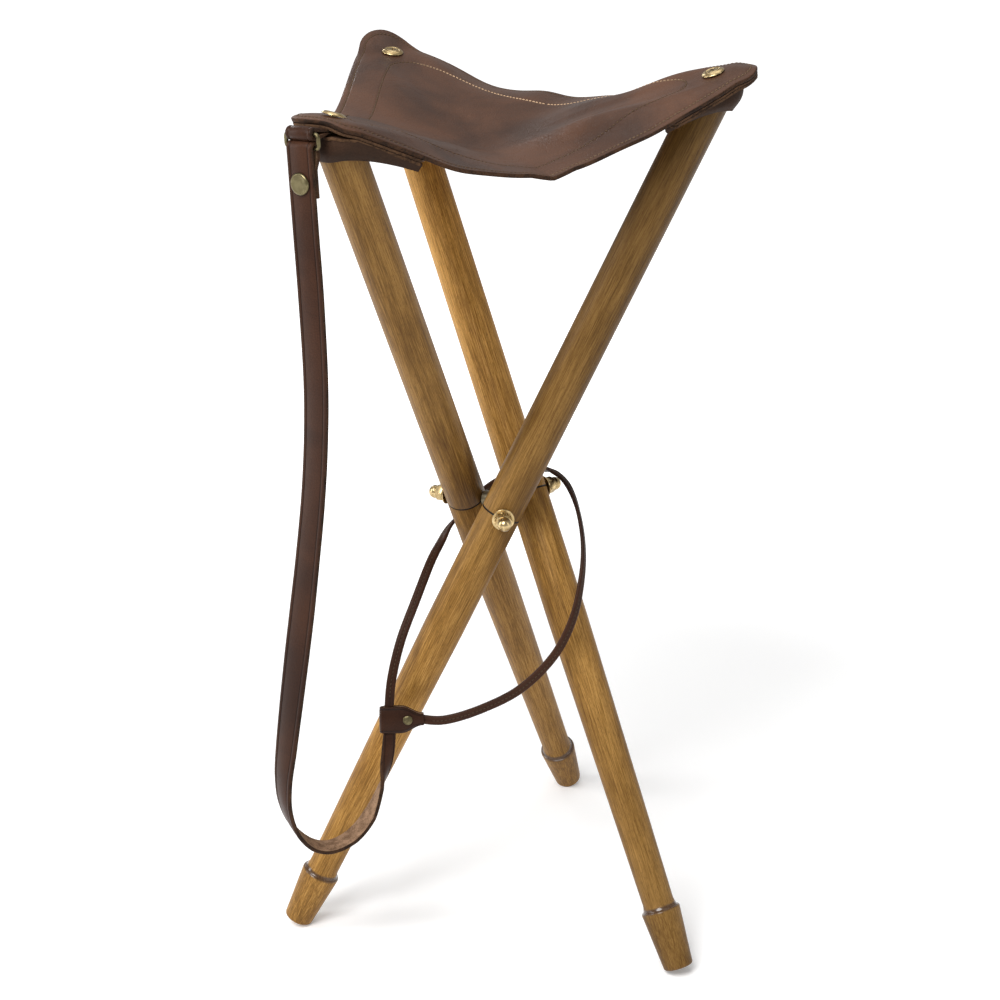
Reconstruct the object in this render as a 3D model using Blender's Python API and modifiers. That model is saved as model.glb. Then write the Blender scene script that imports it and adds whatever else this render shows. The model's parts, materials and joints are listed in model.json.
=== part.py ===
"""A folding tripod stool: three turned legs cross on a three-armed stud and carry a leather sling seat.

Metres, +Z up. Every piece is laid out from the centre of the stud, and one empty there carries them all.
Each leg folds about its own arm of the stud, and a strap hangs from a ring at the left corner of the seat.
"""

import math

import bmesh
import bpy
from mathutils import Matrix, Vector

# Clearance between pieces that touch
GAP = 0.0003

# Legs: turned wood, measured along the leg from the stud
LEG_RADIUS = 0.015
LEG_ABOVE = 0.348
LEG_BELOW = 0.374
LEG_LEAN = math.radians(27.8)
LINE_WIDTH = 0.0014
LINE_DEPTH = 0.0006
TAPER_START = 0.100
ANKLE_RADIUS = 0.0118
COLLAR_RADIUS = 0.0148
COLLAR_EDGE = 0.0012
COVE_LENGTH = 0.006
FOOT_LENGTH = 0.0455
FOOT_TIP_RADIUS = 0.0112
FOOT_ROUND = 0.002
ARM_AZIMUTHS = {"right": -90.0, "back": 30.0, "left": 150.0}

# Stud: three arms in one plane, each through a leg, with washers and a cap nut outside the leg
ARM_TO_LEG = 0.027
STUD_RADIUS = 0.0032
STUD_CORE_RADIUS = 0.0075
STUD_CORE_HEIGHT = 0.013
STUD_COLLAR_RADIUS = 0.006
STUD_IN_NUT = 0.007
WASHER_RADIUS = 0.0082
WASHER_THICK = 0.001
LOCK_RADIUS = 0.0064
LOCK_TOOTH = 0.0011
LOCK_TEETH = 12
LOCK_THICK = 0.0009
NUT_FLATS = 0.0111
NUT_HEX_HEIGHT = 0.0055
NUT_DOME_RADIUS = 0.0051
NUT_NECK = 0.0022
NUT_BORE_SPARE = 0.0008

# Seat: one sheet of leather, three corners over the leg ends, sagging between them
TIP_MARGIN = 0.0184
CORNER_ROUND = 0.022
BLUNT_MARGIN = 0.0074
BLUNT_CORNER = "left"
PANEL_THICK = 0.003
SEAT_SAG = 0.050
EDGE_DROOP = {"front": 0.049, "rear": 0.030, "side": 0.024}
TIP_LIFT = {"right": 0.004, "back": 0.0115, "left": -0.006}
CORNER_FLAT = {
    "front": {"left": 0.13, "right": 0.04},
    "rear": {"right": 0.04, "back": 0.04},
    "side": {"back": 0.0, "left": 0.13},
}
EDGE_CURVE = {
    "front": {"left": 1.2, "right": 1.5},
    "rear": {"right": 2.3, "back": 1.75},
    "side": {"back": 2.4, "left": 1.5},
}
DISH_REACH = 0.135
DISH_SHARE = 0.8
DOME_CLEAR = 0.0011
EDGE_AFTER = {"right": "rear", "back": "side", "left": "front"}
EDGE_BEFORE = {"right": "front", "back": "rear", "left": "side"}
SEAT_RINGS = (0.16, 0.34, 0.52, 0.68, 0.77, 0.83, 0.89, 0.94, 1.0)

# Corner pockets: a welt and a pocket sewn under the seat round each leg end
SEAM_LENGTH = 0.075
WELT_THICK = 0.002
SEAM_SHARE = 0.94
TAB_SEAM_SHARE = 0.98
POCKET_THICK = 0.002
POCKET_DEPTH = 0.005
POCKET_EASE = 0.0012
POCKET_BULGE = 0.0035
POCKET_END = 0.006

# Corner fastening: a cup washer and a screw into the leg end
CUP_RADIUS = 0.0082
CUP_HEIGHT = 0.003
SCREW_RADIUS = 0.002
SCREW_HEAD_RADIUS = 0.0045
SCREW_LENGTH = 0.021
SCREW_SHIFT = 0.004

# Ring at the left corner, held by a leather tab
TAB_WIDTH = 0.021
TAB_THICK = 0.0018
TAB_INSIDE = 0.0065
TAB_FREE = 0.0085
RING_SINK = -0.001
RING_WIRE = 0.0014
RING_WIDTH = 0.026
RING_HEIGHT = 0.009
RING_BEND = 0.0026

# Carry strap: its end turns over the lower bar of the ring and is held by a press stud
STRAP_WIDTH = 0.0205
STRAP_THICK = 0.003
STRAP_END_LENGTH = 0.048
STRAP_TAIL_LENGTH = 0.031
STUD_BELOW_RING = 0.0218
PRESS_CAP_RADIUS = 0.0072
PRESS_CAP_HEIGHT = 0.0018
PRESS_POST_RADIUS = 0.002
PRESS_BASE_RADIUS = 0.0058
PRESS_BASE_THICK = 0.0012

# Keeper: the noose's end, folded round the strap and riveted
KEEPER_CENTRE = Vector((-0.0925, -0.0655, -0.1435))
KEEPER_UP = Vector((0.05, 0.25, 0.967)).normalized()
KEEPER_HEIGHT = 0.020
KEEPER_TONGUE = 0.020
KEEPER_THICK = 0.0018
RIVET_PLACE = 0.0135
RIVET_HEAD_RADIUS = 0.0036
RIVET_HEAD_HEIGHT = 0.0013
RIVET_RADIUS = 0.0014
NOOSE_WIDTH = 0.007
NOOSE_THICK = 0.0032
NECK_WIDTH = 0.009

# The stud's axis stands here, so that the origin is under the middle of the part's own box
AXIS_X = -0.0025
AXIS_Y = -0.0124

# Routes of the straps from the stud's centre: place, direction across the strap, width
CARRY_ROUTE = [
    ((-0.1250, -0.1520, 0.204), (0.77, -0.63, 0.0), STRAP_WIDTH),
    ((-0.1260, -0.1510, 0.149), (0.74, -0.67, 0.0), STRAP_WIDTH),
    ((-0.1290, -0.1470, 0.106), (0.72, -0.69, 0.0), STRAP_WIDTH),
    ((-0.1340, -0.1420, 0.063), (0.72, -0.69, 0.0), STRAP_WIDTH),
    ((-0.1410, -0.1380, 0.018), (0.74, -0.67, 0.0), STRAP_WIDTH),
    ((-0.1475, -0.1350, -0.020), (0.78, -0.62, 0.0), STRAP_WIDTH),
    ((-0.1540, -0.1320, -0.056), (0.78, -0.62, 0.0), STRAP_WIDTH),
    ((-0.1605, -0.1300, -0.092), (0.74, -0.67, 0.0), STRAP_WIDTH),
    ((-0.1670, -0.1280, -0.129), (0.66, -0.75, 0.0), STRAP_WIDTH),
    ((-0.1710, -0.1260, -0.154), (0.54, -0.84, 0.0), STRAP_WIDTH),
    ((-0.1715, -0.1230, -0.177), (0.42, -0.91, 0.0), STRAP_WIDTH),
    ((-0.1665, -0.1180, -0.199), (0.30, -0.95, 0.0), STRAP_WIDTH),
    ((-0.1560, -0.1120, -0.216), (0.22, -0.97, 0.05), STRAP_WIDTH),
    ((-0.1420, -0.1050, -0.224), (0.26, -0.96, 0.10), STRAP_WIDTH),
    ((-0.1260, -0.0980, -0.221), (0.36, -0.92, 0.12), STRAP_WIDTH),
    ((-0.1120, -0.0900, -0.209), (0.38, -0.90, 0.14), 0.0190),
    ((-0.1020, -0.0820, -0.190), (0.05, -0.98, 0.14), 0.0150),
    ((-0.0960, -0.0740, -0.171), (-0.80, -0.60, 0.08), 0.0110),
]
NOOSE_ROUTE = [
    ((-0.0885, -0.0575, -0.113), (-1.0, 0.0, 0.0)),
    ((-0.0800, -0.0460, -0.0885), (-0.98, 0.05, 0.1)),
    ((-0.0670, -0.0290, -0.0650), (-0.95, 0.1, 0.2)),
    ((-0.0535, -0.0070, -0.0440), (-0.92, 0.15, 0.2)),
    ((-0.0440, 0.0130, -0.0360), (-0.88, 0.3, -0.1)),
    ((-0.0355, 0.0340, -0.0315), (-0.70, 0.3, -0.6)),
    ((-0.0215, 0.0500, -0.0250), (-0.30, 0.2, -0.9)),
    ((-0.0065, 0.0575, -0.0140), (0.0, 0.0, -1.0)),
    ((0.0085, 0.0575, -0.0050), (0.0, 0.0, -1.0)),
    ((0.0235, 0.0525, 0.0020), (0.0, 0.2, -1.0)),
    ((0.0370, 0.0410, 0.0075), (0.4, 0.3, -0.8)),
    ((0.0460, 0.0265, 0.0090), (0.9, 0.4, -0.3)),
    ((0.0540, 0.0100, 0.0040), (0.8, 0.3, -0.6)),
    ((0.0590, -0.0080, -0.0100), (0.3, 0.1, -0.9)),
    ((0.0600, -0.0280, -0.0300), (0.2, 0.0, -1.0)),
    ((0.0560, -0.0450, -0.0510), (0.2, 0.0, -1.0)),
    ((0.0470, -0.0580, -0.0770), (0.2, 0.0, -1.0)),
    ((0.0310, -0.0660, -0.1020), (0.2, 0.0, -1.0)),
    ((0.0050, -0.0710, -0.1240), (0.2, 0.0, -1.0)),
    ((-0.0250, -0.0710, -0.1380), (0.1, 0.0, -1.0)),
    ((-0.0520, -0.0690, -0.1455), (0.0, -0.1, -1.0)),
]
STEPS_PER_SPAN = 2


# Scene and helpers

for old in list(bpy.data.objects):
    bpy.data.objects.remove(old)

PARTS = bpy.data.collections.new("tripod_stool")
CUTTERS = bpy.data.collections.new("cutters")
bpy.context.scene.collection.children.link(PARTS)
bpy.context.scene.collection.children.link(CUTTERS)


def look(name, colour, roughness, metallic=0.0):
    made = bpy.data.materials.new(name)
    made.use_nodes = True
    shader = made.node_tree.nodes["Principled BSDF"]
    shader.inputs["Base Color"].default_value = (*colour, 1.0)
    shader.inputs["Roughness"].default_value = roughness
    shader.inputs["Metallic"].default_value = metallic
    return made


WOOD = look("stained_wood", (0.36, 0.20, 0.07), 0.45)
SEAT_LEATHER = look("seat_leather", (0.075, 0.032, 0.022), 0.5)
POCKET_LEATHER = look("pocket_leather", (0.055, 0.026, 0.019), 0.6)
STRAP_LEATHER = look("strap_leather", (0.060, 0.022, 0.016), 0.4)
BRASS = look("brass", (0.62, 0.46, 0.18), 0.25, 1.0)
OLD_BRASS = look("antique_brass", (0.36, 0.28, 0.14), 0.35, 1.0)
STEEL = look("zinc_steel", (0.42, 0.41, 0.38), 0.4, 1.0)


def empty(name, place, parent=None, parent_place=None):
    """An empty whose place is given from the stud's centre."""
    made = bpy.data.objects.new(name, None)
    PARTS.objects.link(made)
    made.matrix_basis = place
    if parent:
        made.parent = parent
        made.matrix_parent_inverse = parent_place.inverted()
    return made


def unit(azimuth):
    return Vector((math.cos(math.radians(azimuth)), math.sin(math.radians(azimuth)), 0.0))


def frame_matrix(origin, x_axis, z_axis):
    """A placement with +Z along z_axis and +X as near x_axis as it can be."""
    z = z_axis.normalized()
    x = (x_axis - x_axis.dot(z) * z).normalized()
    y = z.cross(x)
    turn = Matrix((x, y, z)).transposed()
    return Matrix.Translation(origin) @ turn.to_4x4()


UP = Vector((0.0, 0.0, 1.0))


def leg_profile():
    """Radius and place along the leg, from the domed top down to the foot's end."""
    dome = [math.radians(18.0 * step) for step in range(6)]
    points = [(LEG_RADIUS * math.sin(a), LEG_ABOVE - LEG_RADIUS + LEG_RADIUS * math.cos(a)) for a in dome]
    collar = LEG_BELOW - FOOT_LENGTH
    points += [
        (LEG_RADIUS, LINE_WIDTH / 2),
        (LEG_RADIUS - LINE_DEPTH, 0.0),
        (LEG_RADIUS, -LINE_WIDTH / 2),
        (LEG_RADIUS, -TAPER_START),
        (ANKLE_RADIUS, -collar + COVE_LENGTH),
        (COLLAR_RADIUS - COLLAR_EDGE, -collar),
        (COLLAR_RADIUS, -collar - COLLAR_EDGE),
    ]
    rim = [math.radians(30.0 * step) for step in range(4)]
    flat = FOOT_TIP_RADIUS - FOOT_ROUND
    points += [
        (flat + FOOT_ROUND * math.cos(a), -LEG_BELOW + FOOT_ROUND - FOOT_ROUND * math.sin(a)) for a in rim
    ]
    points.append((0.0, -LEG_BELOW))
    return points


LOWEST = max(r * math.sin(LEG_LEAN) - s * math.cos(LEG_LEAN) for r, s in leg_profile())
STUD_PLACE = Matrix.Translation((AXIS_X, AXIS_Y, LOWEST))
STUD = empty("stud_axis", STUD_PLACE)
HERE = Matrix.Identity(4)
FOLD_PLACES = {
    leg: frame_matrix(ARM_TO_LEG * unit(azimuth), unit(azimuth), UP)
    for leg, azimuth in ARM_AZIMUTHS.items()
}
FOLDS = {leg: empty(f"fold_{leg}", place, STUD, HERE) for leg, place in FOLD_PLACES.items()}


def add(name, mesh, finish, carrier=None, carrier_place=HERE, place=HERE, smooth=None):
    """A piece of the stool, placed from the stud's centre and carried by an empty."""
    made = bpy.data.objects.new(name, mesh)
    PARTS.objects.link(made)
    if not mesh.materials:
        mesh.materials.append(finish)
    made.parent = carrier or STUD
    made.matrix_parent_inverse = carrier_place.inverted()
    made.matrix_basis = place
    if smooth:
        mesh.shade_smooth()
        mesh.set_sharp_from_angle(angle=math.radians(smooth))
    return made


def on_leg(name, mesh, finish, leg, place=HERE, smooth=None):
    return add(name, mesh, finish, FOLDS[leg], FOLD_PLACES[leg], place, smooth)


def profile_mesh(name, profile, closed=False):
    mesh = bpy.data.meshes.new(name)
    count = len(profile)
    edges = [(i, (i + 1) % count) for i in range(count if closed else count - 1)]
    mesh.from_pydata([(radius, 0.0, height) for radius, height in profile], edges, [])
    return mesh


def turn(piece, steps):
    """Turns a piece's profile about its own Z axis."""
    screw = piece.modifiers.new("Turn", "SCREW")
    screw.axis = "Z"
    screw.steps = steps
    screw.render_steps = steps
    screw.use_merge_vertices = True
    screw.merge_threshold = 0.00001
    screw.use_smooth_shade = True
    return piece


def rod_mesh(name, radius, bottom, top, sides):
    """A round or, with six sides, hexagonal bar along Z."""
    mesh = bpy.data.meshes.new(name)
    bar = bmesh.new()
    bmesh.ops.create_cone(
        bar, cap_ends=True, segments=sides, radius1=radius, radius2=radius, depth=top - bottom
    )
    bmesh.ops.translate(bar, verts=bar.verts, vec=(0.0, 0.0, (top + bottom) / 2))
    bar.to_mesh(mesh)
    bar.free()
    return mesh


def cutter(name, mesh, place):
    made = bpy.data.objects.new(name, mesh)
    CUTTERS.objects.link(made)
    made.parent = STUD
    made.matrix_basis = place
    made.hide_render = True
    made.display_type = "WIRE"
    return made


def boolean(piece, tool, operation="DIFFERENCE"):
    step = piece.modifiers.new(tool.name, "BOOLEAN")
    step.operation = operation
    step.object = tool
    step.solver = "EXACT"


def skin_mesh(name, rows, ring=False, face_up=UP):
    """An open surface through rows of points; with ring, each row closes and the last row is filled."""
    skin = bmesh.new()
    grid = [[skin.verts.new(point) for point in row] for row in rows]
    for upper, lower in zip(grid, grid[1:]):
        count = len(upper)
        for i in range(count if ring else count - 1):
            j = (i + 1) % count
            skin.faces.new((upper[i], upper[j], lower[j], lower[i]))
    if ring:
        bmesh.ops.poke(skin, faces=[skin.faces.new(grid[-1])])
    bmesh.ops.recalc_face_normals(skin, faces=skin.faces)
    skin.faces.ensure_lookup_table()
    if skin.faces[0].normal.dot(face_up) < 0:
        bmesh.ops.reverse_faces(skin, faces=skin.faces)
    mesh = bpy.data.meshes.new(name)
    skin.to_mesh(mesh)
    skin.free()
    return mesh


def thicken(piece, thickness, side):
    """Gives a surface its thickness: above it with side 1, below it with -1, both ways with 0."""
    wall = piece.modifiers.new("Thickness", "SOLIDIFY")
    wall.thickness = thickness
    wall.offset = side
    wall.use_even_offset = True
    return piece


# Legs

LEG_TURN = Matrix.Rotation(-LEG_LEAN, 4, "X")


def leg_point(leg, along):
    """The point on a leg's axis, at a distance up the leg from the stud."""
    return FOLD_PLACES[leg] @ LEG_TURN @ Vector((0.0, 0.0, along))


leg_mesh = profile_mesh("leg", leg_profile())
LEG_PIECES = {}
for leg in ARM_AZIMUTHS:
    LEG_PIECES[leg] = turn(on_leg(f"leg_{leg}", leg_mesh, WOOD, leg, FOLD_PLACES[leg] @ LEG_TURN), 28)
    bore = rod_mesh(f"bore_{leg}", STUD_RADIUS + GAP, -2 * LEG_RADIUS, 2 * LEG_RADIUS, 16)
    across = frame_matrix(ARM_TO_LEG * unit(ARM_AZIMUTHS[leg]), UP, unit(ARM_AZIMUTHS[leg]))
    boolean(LEG_PIECES[leg], cutter(f"arm_bore_{leg}", bore, across))


# Stud, washers and cap nuts

WASHER_FROM = ARM_TO_LEG + LEG_RADIUS + GAP
LOCK_FROM = WASHER_FROM + WASHER_THICK + GAP
NUT_FROM = LOCK_FROM + LOCK_THICK + GAP
ARM_END = NUT_FROM + STUD_IN_NUT

core = rod_mesh("hub_stud", STUD_CORE_RADIUS, -STUD_CORE_HEIGHT / 2, STUD_CORE_HEIGHT / 2, 24)
hub_stud = add("hub_stud", core, STEEL, smooth=40)

washer_profile = [
    (WASHER_RADIUS, WASHER_THICK),
    (WASHER_RADIUS, 0.0),
    (STUD_RADIUS + GAP, 0.0),
    (STUD_RADIUS + GAP, WASHER_THICK),
]
washer_mesh = profile_mesh("flat_washer", washer_profile, closed=True)


def lock_washer_mesh():
    """A toothed ring: alternating points and valleys round a bored plate."""
    outline = bpy.data.curves.new("lock_washer", "CURVE")
    outline.dimensions = "2D"
    outline.fill_mode = "BOTH"
    outline.extrude = LOCK_THICK / 2
    rim = []
    for tooth in range(2 * LOCK_TEETH):
        angle = math.pi * tooth / LOCK_TEETH
        radius = LOCK_RADIUS - (LOCK_TOOTH if tooth % 2 else 0.0)
        rim.append((radius * math.cos(angle), radius * math.sin(angle)))
    hole = [2 * math.pi * step / 16 for step in range(16)]
    loops = (rim, [((STUD_RADIUS + GAP) * math.cos(a), (STUD_RADIUS + GAP) * math.sin(a)) for a in hole])
    for loop in loops:
        line = outline.splines.new("POLY")
        line.points.add(len(loop) - 1)
        line.use_cyclic_u = True
        for point, (x, y) in zip(line.points, loop):
            point.co = (x, y, 0.0, 1.0)
    return outline


def nut_body(name):
    """A hexagon with a neck and a dome, before it is bored."""
    hexagon = rod_mesh(name, NUT_FLATS / math.sqrt(3), 0.0, NUT_HEX_HEIGHT, 6)
    dome = [math.radians(15.0 * step) for step in range(7)]
    centre = NUT_HEX_HEIGHT + NUT_NECK
    profile = [(NUT_DOME_RADIUS * math.sin(a), centre + NUT_DOME_RADIUS * math.cos(a)) for a in dome]
    profile += [(NUT_DOME_RADIUS, NUT_HEX_HEIGHT / 2), (0.0, NUT_HEX_HEIGHT / 2)]
    return hexagon, profile_mesh(f"{name}_dome", profile)


lock_outline = lock_washer_mesh()
nut_mesh, nut_dome_mesh = nut_body("cap_nut")
for leg, azimuth in ARM_AZIMUTHS.items():
    along = unit(azimuth)
    arm_place = frame_matrix(Vector(), UP, along)
    arm = rod_mesh(f"arm_{leg}", STUD_RADIUS, 0.0, ARM_END, 16)
    boolean(hub_stud, cutter(f"stud_arm_{leg}", arm, arm_place), "UNION")
    collar = rod_mesh(f"collar_{leg}", STUD_COLLAR_RADIUS, 0.0, ARM_TO_LEG - LEG_RADIUS - GAP, 16)
    boolean(hub_stud, cutter(f"stud_collar_{leg}", collar, arm_place), "UNION")
    washer_place = arm_place @ Matrix.Translation((0, 0, WASHER_FROM))
    turn(add(f"flat_washer_{leg}", washer_mesh, BRASS, place=washer_place), 28)
    lock_middle = Matrix.Translation((0, 0, LOCK_FROM + LOCK_THICK / 2))
    add(f"lock_washer_{leg}", lock_outline, BRASS, place=arm_place @ lock_middle)
    nut_place = arm_place @ Matrix.Translation((0, 0, NUT_FROM))
    nut = add(f"cap_nut_{leg}", nut_mesh, BRASS, place=nut_place, smooth=35)
    boolean(nut, turn(cutter(f"nut_dome_{leg}", nut_dome_mesh, nut_place), 20), "UNION")
    bore = rod_mesh(f"nut_bore_{leg}", STUD_RADIUS + GAP, -LOCK_THICK, STUD_IN_NUT + NUT_BORE_SPARE, 16)
    boolean(nut, cutter(f"nut_thread_{leg}", bore, nut_place))


# Seat surface

LEG_END = {leg: leg_point(leg, LEG_ABOVE - LEG_RADIUS) for leg in ARM_AZIMUTHS}
CORNER_REACH = LEG_END["right"].xy.length
TIP_REACH = CORNER_REACH + LEG_RADIUS + TIP_MARGIN
BLUNT_REACH = CORNER_REACH + LEG_RADIUS + BLUNT_MARGIN
CORNER_AZIMUTHS = {leg: math.degrees(math.atan2(end.y, end.x)) for leg, end in LEG_END.items()}
CORNER_LEVEL = LEG_END["right"].z + LEG_RADIUS + DOME_CLEAR
SIXTY = math.pi / 3
EDGE_REACH = (TIP_REACH - CORNER_ROUND) / 2 + CORNER_ROUND
APEX_REACH = TIP_REACH + CORNER_ROUND
ARC_END = math.atan2(CORNER_ROUND * math.sin(SIXTY), TIP_REACH - CORNER_ROUND / 2)


def rise(share):
    """How far up from the seat's middle to its edge the leather has come, at a share of the way out."""
    return math.sin(math.pi / 2 * min(share, 1.0)) ** 1.5


LIFT_FROM = CORNER_REACH + CUP_RADIUS
CENTRE_LEVEL = CORNER_LEVEL - SEAT_SAG
TIP_LEVEL = CENTRE_LEVEL + SEAT_SAG / rise(CORNER_REACH / TIP_REACH)


def nearest_corner(x, y):
    """The corner that a point belongs to, and the angle from that corner's middle line."""
    heading = math.atan2(y, x)
    turns = {
        leg: (heading - math.radians(azimuth) + math.pi) % (2 * math.pi) - math.pi
        for leg, azimuth in CORNER_AZIMUTHS.items()
    }
    leg = min(turns, key=lambda name: abs(turns[name]))
    return leg, turns[leg]


def outline_reach(angle):
    """Distance from the axis to the seat's outline, at an angle from the nearest corner."""
    if abs(angle) < ARC_END:
        hub = TIP_REACH - CORNER_ROUND
        return hub * math.cos(angle) + math.sqrt(CORNER_ROUND**2 - (hub * math.sin(angle)) ** 2)
    return EDGE_REACH / math.cos(SIXTY - abs(angle))


def seat_share(x, y):
    """How far out a spot lies: a round dish in the middle, which takes the outline's shape further out."""
    share = math.hypot(x, y) / outline_reach(nearest_corner(x, y)[1])
    dish = math.hypot(x, y) / DISH_REACH
    mix = min(1.0, share / DISH_SHARE)
    return dish + (share - dish) * mix * mix * (3 - 2 * mix)


def seat_height(x, y):
    """Height of the leather's underside above the stud."""
    leg, angle = nearest_corner(x, y)
    edge = EDGE_AFTER[leg] if angle > 0 else EDGE_BEFORE[leg]
    along = 1 - math.tan(SIXTY - abs(angle)) / math.tan(SIXTY)
    flat = CORNER_FLAT[edge][leg]
    along = max(0.0, along - flat) / (1 - flat)
    drop = TIP_LEVEL - CORNER_LEVEL + EDGE_DROOP[edge]
    rim = TIP_LEVEL - drop * math.sin(math.pi / 2 * along) ** EDGE_CURVE[edge][leg]
    past = max(0.0, math.hypot(x, y) * math.cos(angle) - LIFT_FROM) / (TIP_REACH - LIFT_FROM)
    lift = TIP_LIFT[leg] * past**1.5 * math.cos(1.5 * angle) ** 2
    return CENTRE_LEVEL + (rim - CENTRE_LEVEL) * rise(seat_share(x, y)) + lift


def seat_normal(x, y):
    step = 0.0005
    slope_x = (seat_height(x + step, y) - seat_height(x - step, y)) / (2 * step)
    slope_y = (seat_height(x, y + step) - seat_height(x, y - step)) / (2 * step)
    return Vector((-slope_x, -slope_y, 1.0)).normalized()


def under_seat(spot, depth):
    """The point at a depth under the leather, below a spot of the plan."""
    return Vector((*spot, seat_height(*spot))) - depth * seat_normal(*spot)


def corner_plan(leg, out, across):
    """A spot of the plan, given outwards and crosswise from a corner's middle line."""
    radial = unit(CORNER_AZIMUTHS[leg])
    return (out * radial + across * UP.cross(radial)).xy


def corner_edge(leg, walk):
    """A spot on the seat's outline, at a distance walked round the corner from its tip."""
    sign = math.copysign(1.0, walk)
    blunt = leg == BLUNT_CORNER
    half = (APEX_REACH - BLUNT_REACH) * math.tan(SIXTY / 2) if blunt else CORNER_ROUND * SIXTY
    if abs(walk) <= half:
        turned = 0.0 if blunt else walk / CORNER_ROUND
        inward = Vector((-math.cos(turned), -math.sin(turned)))
        if blunt:
            spot = Vector((BLUNT_REACH, walk))
        else:
            spot = Vector((TIP_REACH - CORNER_ROUND, 0.0)) - CORNER_ROUND * inward
    else:
        inward = Vector((-math.cos(SIXTY), -math.sin(SIXTY) * sign))
        if blunt:
            start = Vector((BLUNT_REACH, half * sign))
        else:
            start = Vector((TIP_REACH - CORNER_ROUND, 0.0)) - CORNER_ROUND * inward
        spot = start + (abs(walk) - half) * Vector((-math.sin(SIXTY), math.cos(SIXTY) * sign))
    return corner_plan(leg, spot.x, spot.y)


def edge_length(leg):
    """From a corner's tip, along the outline, to the middle of the edge."""
    if leg == BLUNT_CORNER:
        cut = APEX_REACH - BLUNT_REACH
        return cut * math.tan(SIXTY / 2) + EDGE_REACH * math.tan(SIXTY) - cut / math.cos(SIXTY / 2)
    return CORNER_ROUND * SIXTY + (EDGE_REACH - CORNER_ROUND) * math.tan(SIXTY)


HALF_STATIONS = (0.15, 0.27, 0.4, 0.55, 0.7, 0.85, 1.0)
STATIONS = [-share for share in reversed(HALF_STATIONS)] + [0.0, *HALF_STATIONS]


def seat_outline():
    """Spots round the seat: close together along each corner's seam, then wide apart along the edges."""
    spots = []
    for leg in ("right", "back", "left"):
        length = edge_length(leg)
        free = [SEAM_LENGTH + share * (length - SEAM_LENGTH) for share in (1 / 3, 2 / 3)]
        walks = [-length, -free[1], -free[0], *(share * SEAM_LENGTH for share in STATIONS), *free]
        spots += [corner_edge(leg, walk) for walk in walks]
    return spots


rings = [
    [Vector((*(spot * share), seat_height(*(spot * share)))) for spot in seat_outline()]
    for share in reversed(SEAT_RINGS)
]
seat_panel = add("seat_panel", skin_mesh("seat_panel", rings, ring=True), SEAT_LEATHER, smooth=60)
thicken(seat_panel, PANEL_THICK, 1)


# Corners: welt, pocket, cup washer and screw

TAB_STACK = 2 * TAB_THICK + 3 * GAP


def tab_drop(leg, walk):
    """How much lower the pocket's seam lies where the ring's tab is sewn in above it."""
    if leg != BLUNT_CORNER:
        return 0.0
    past = (abs(walk) - TAB_WIDTH / 2 - GAP) / TAB_WIDTH
    return TAB_STACK * (1 - min(1.0, max(0.0, past)))


def pocket_rows(leg):
    """From the sewn edge, in along the seam, then down and round the leg to the pocket's mouth."""
    axis = (leg_point(leg, LEG_ABOVE) - leg_point(leg, 0.0)).normalized()
    radial = unit(CORNER_AZIMUTHS[leg])
    outer = (radial - radial.dot(axis) * axis).normalized()
    side = axis.cross(outer)
    mouth_middle = leg_point(leg, LEG_ABOVE - LEG_RADIUS - POCKET_DEPTH)
    wrap = LEG_RADIUS + POCKET_EASE + GAP
    rows = [[], [], [], []]
    for share in STATIONS:
        walk = share * SEAM_LENGTH
        depth = 2 * GAP + WELT_THICK + tab_drop(leg, walk)
        seam = TAB_SEAM_SHARE if leg == BLUNT_CORNER else SEAM_SHARE
        edge = under_seat(corner_edge(leg, walk), depth)
        inner = under_seat(corner_edge(leg, walk) * seam, depth)
        lower = under_seat(corner_edge(leg, walk) * seam, depth + POCKET_END)
        turned = share * math.pi / 2
        round_leg = mouth_middle + wrap * (math.cos(turned) * outer + math.sin(turned) * side)
        mouth = round_leg.lerp(lower, share * share)
        push = POCKET_BULGE * (1 - share * share) * (math.cos(turned) * outer + math.sin(turned) * side)
        for row, point in zip(rows, (edge, inner, inner.lerp(mouth, 0.5) + push, mouth)):
            row.append(point)
    return rows


cup_profile = [
    (SCREW_HEAD_RADIUS + 2 * GAP, CUP_HEIGHT - 2 * GAP),
    (SCREW_HEAD_RADIUS + 4 * GAP, CUP_HEIGHT),
    ((SCREW_HEAD_RADIUS + 2 * CUP_RADIUS) / 3 + 2 * GAP, 0.62 * CUP_HEIGHT),
    (CUP_RADIUS, 0.2 * CUP_HEIGHT),
    (CUP_RADIUS, 0.0),
    (SCREW_RADIUS + 2 * GAP, 0.0),
    (SCREW_RADIUS + 2 * GAP, 0.2 * CUP_HEIGHT),
]
cup_mesh = profile_mesh("cup_washer", cup_profile, closed=True)
screw_profile = [
    (0.0, CUP_HEIGHT + 0.0009),
    (0.55 * SCREW_HEAD_RADIUS, CUP_HEIGHT + 0.0006),
    (SCREW_HEAD_RADIUS, CUP_HEIGHT - 2 * GAP),
    (SCREW_RADIUS, 0.12 * CUP_HEIGHT),
    (SCREW_RADIUS, -SCREW_LENGTH + 2 * SCREW_RADIUS),
    (0.0, -SCREW_LENGTH),
]
screw_mesh = profile_mesh("seat_screw", screw_profile)

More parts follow.
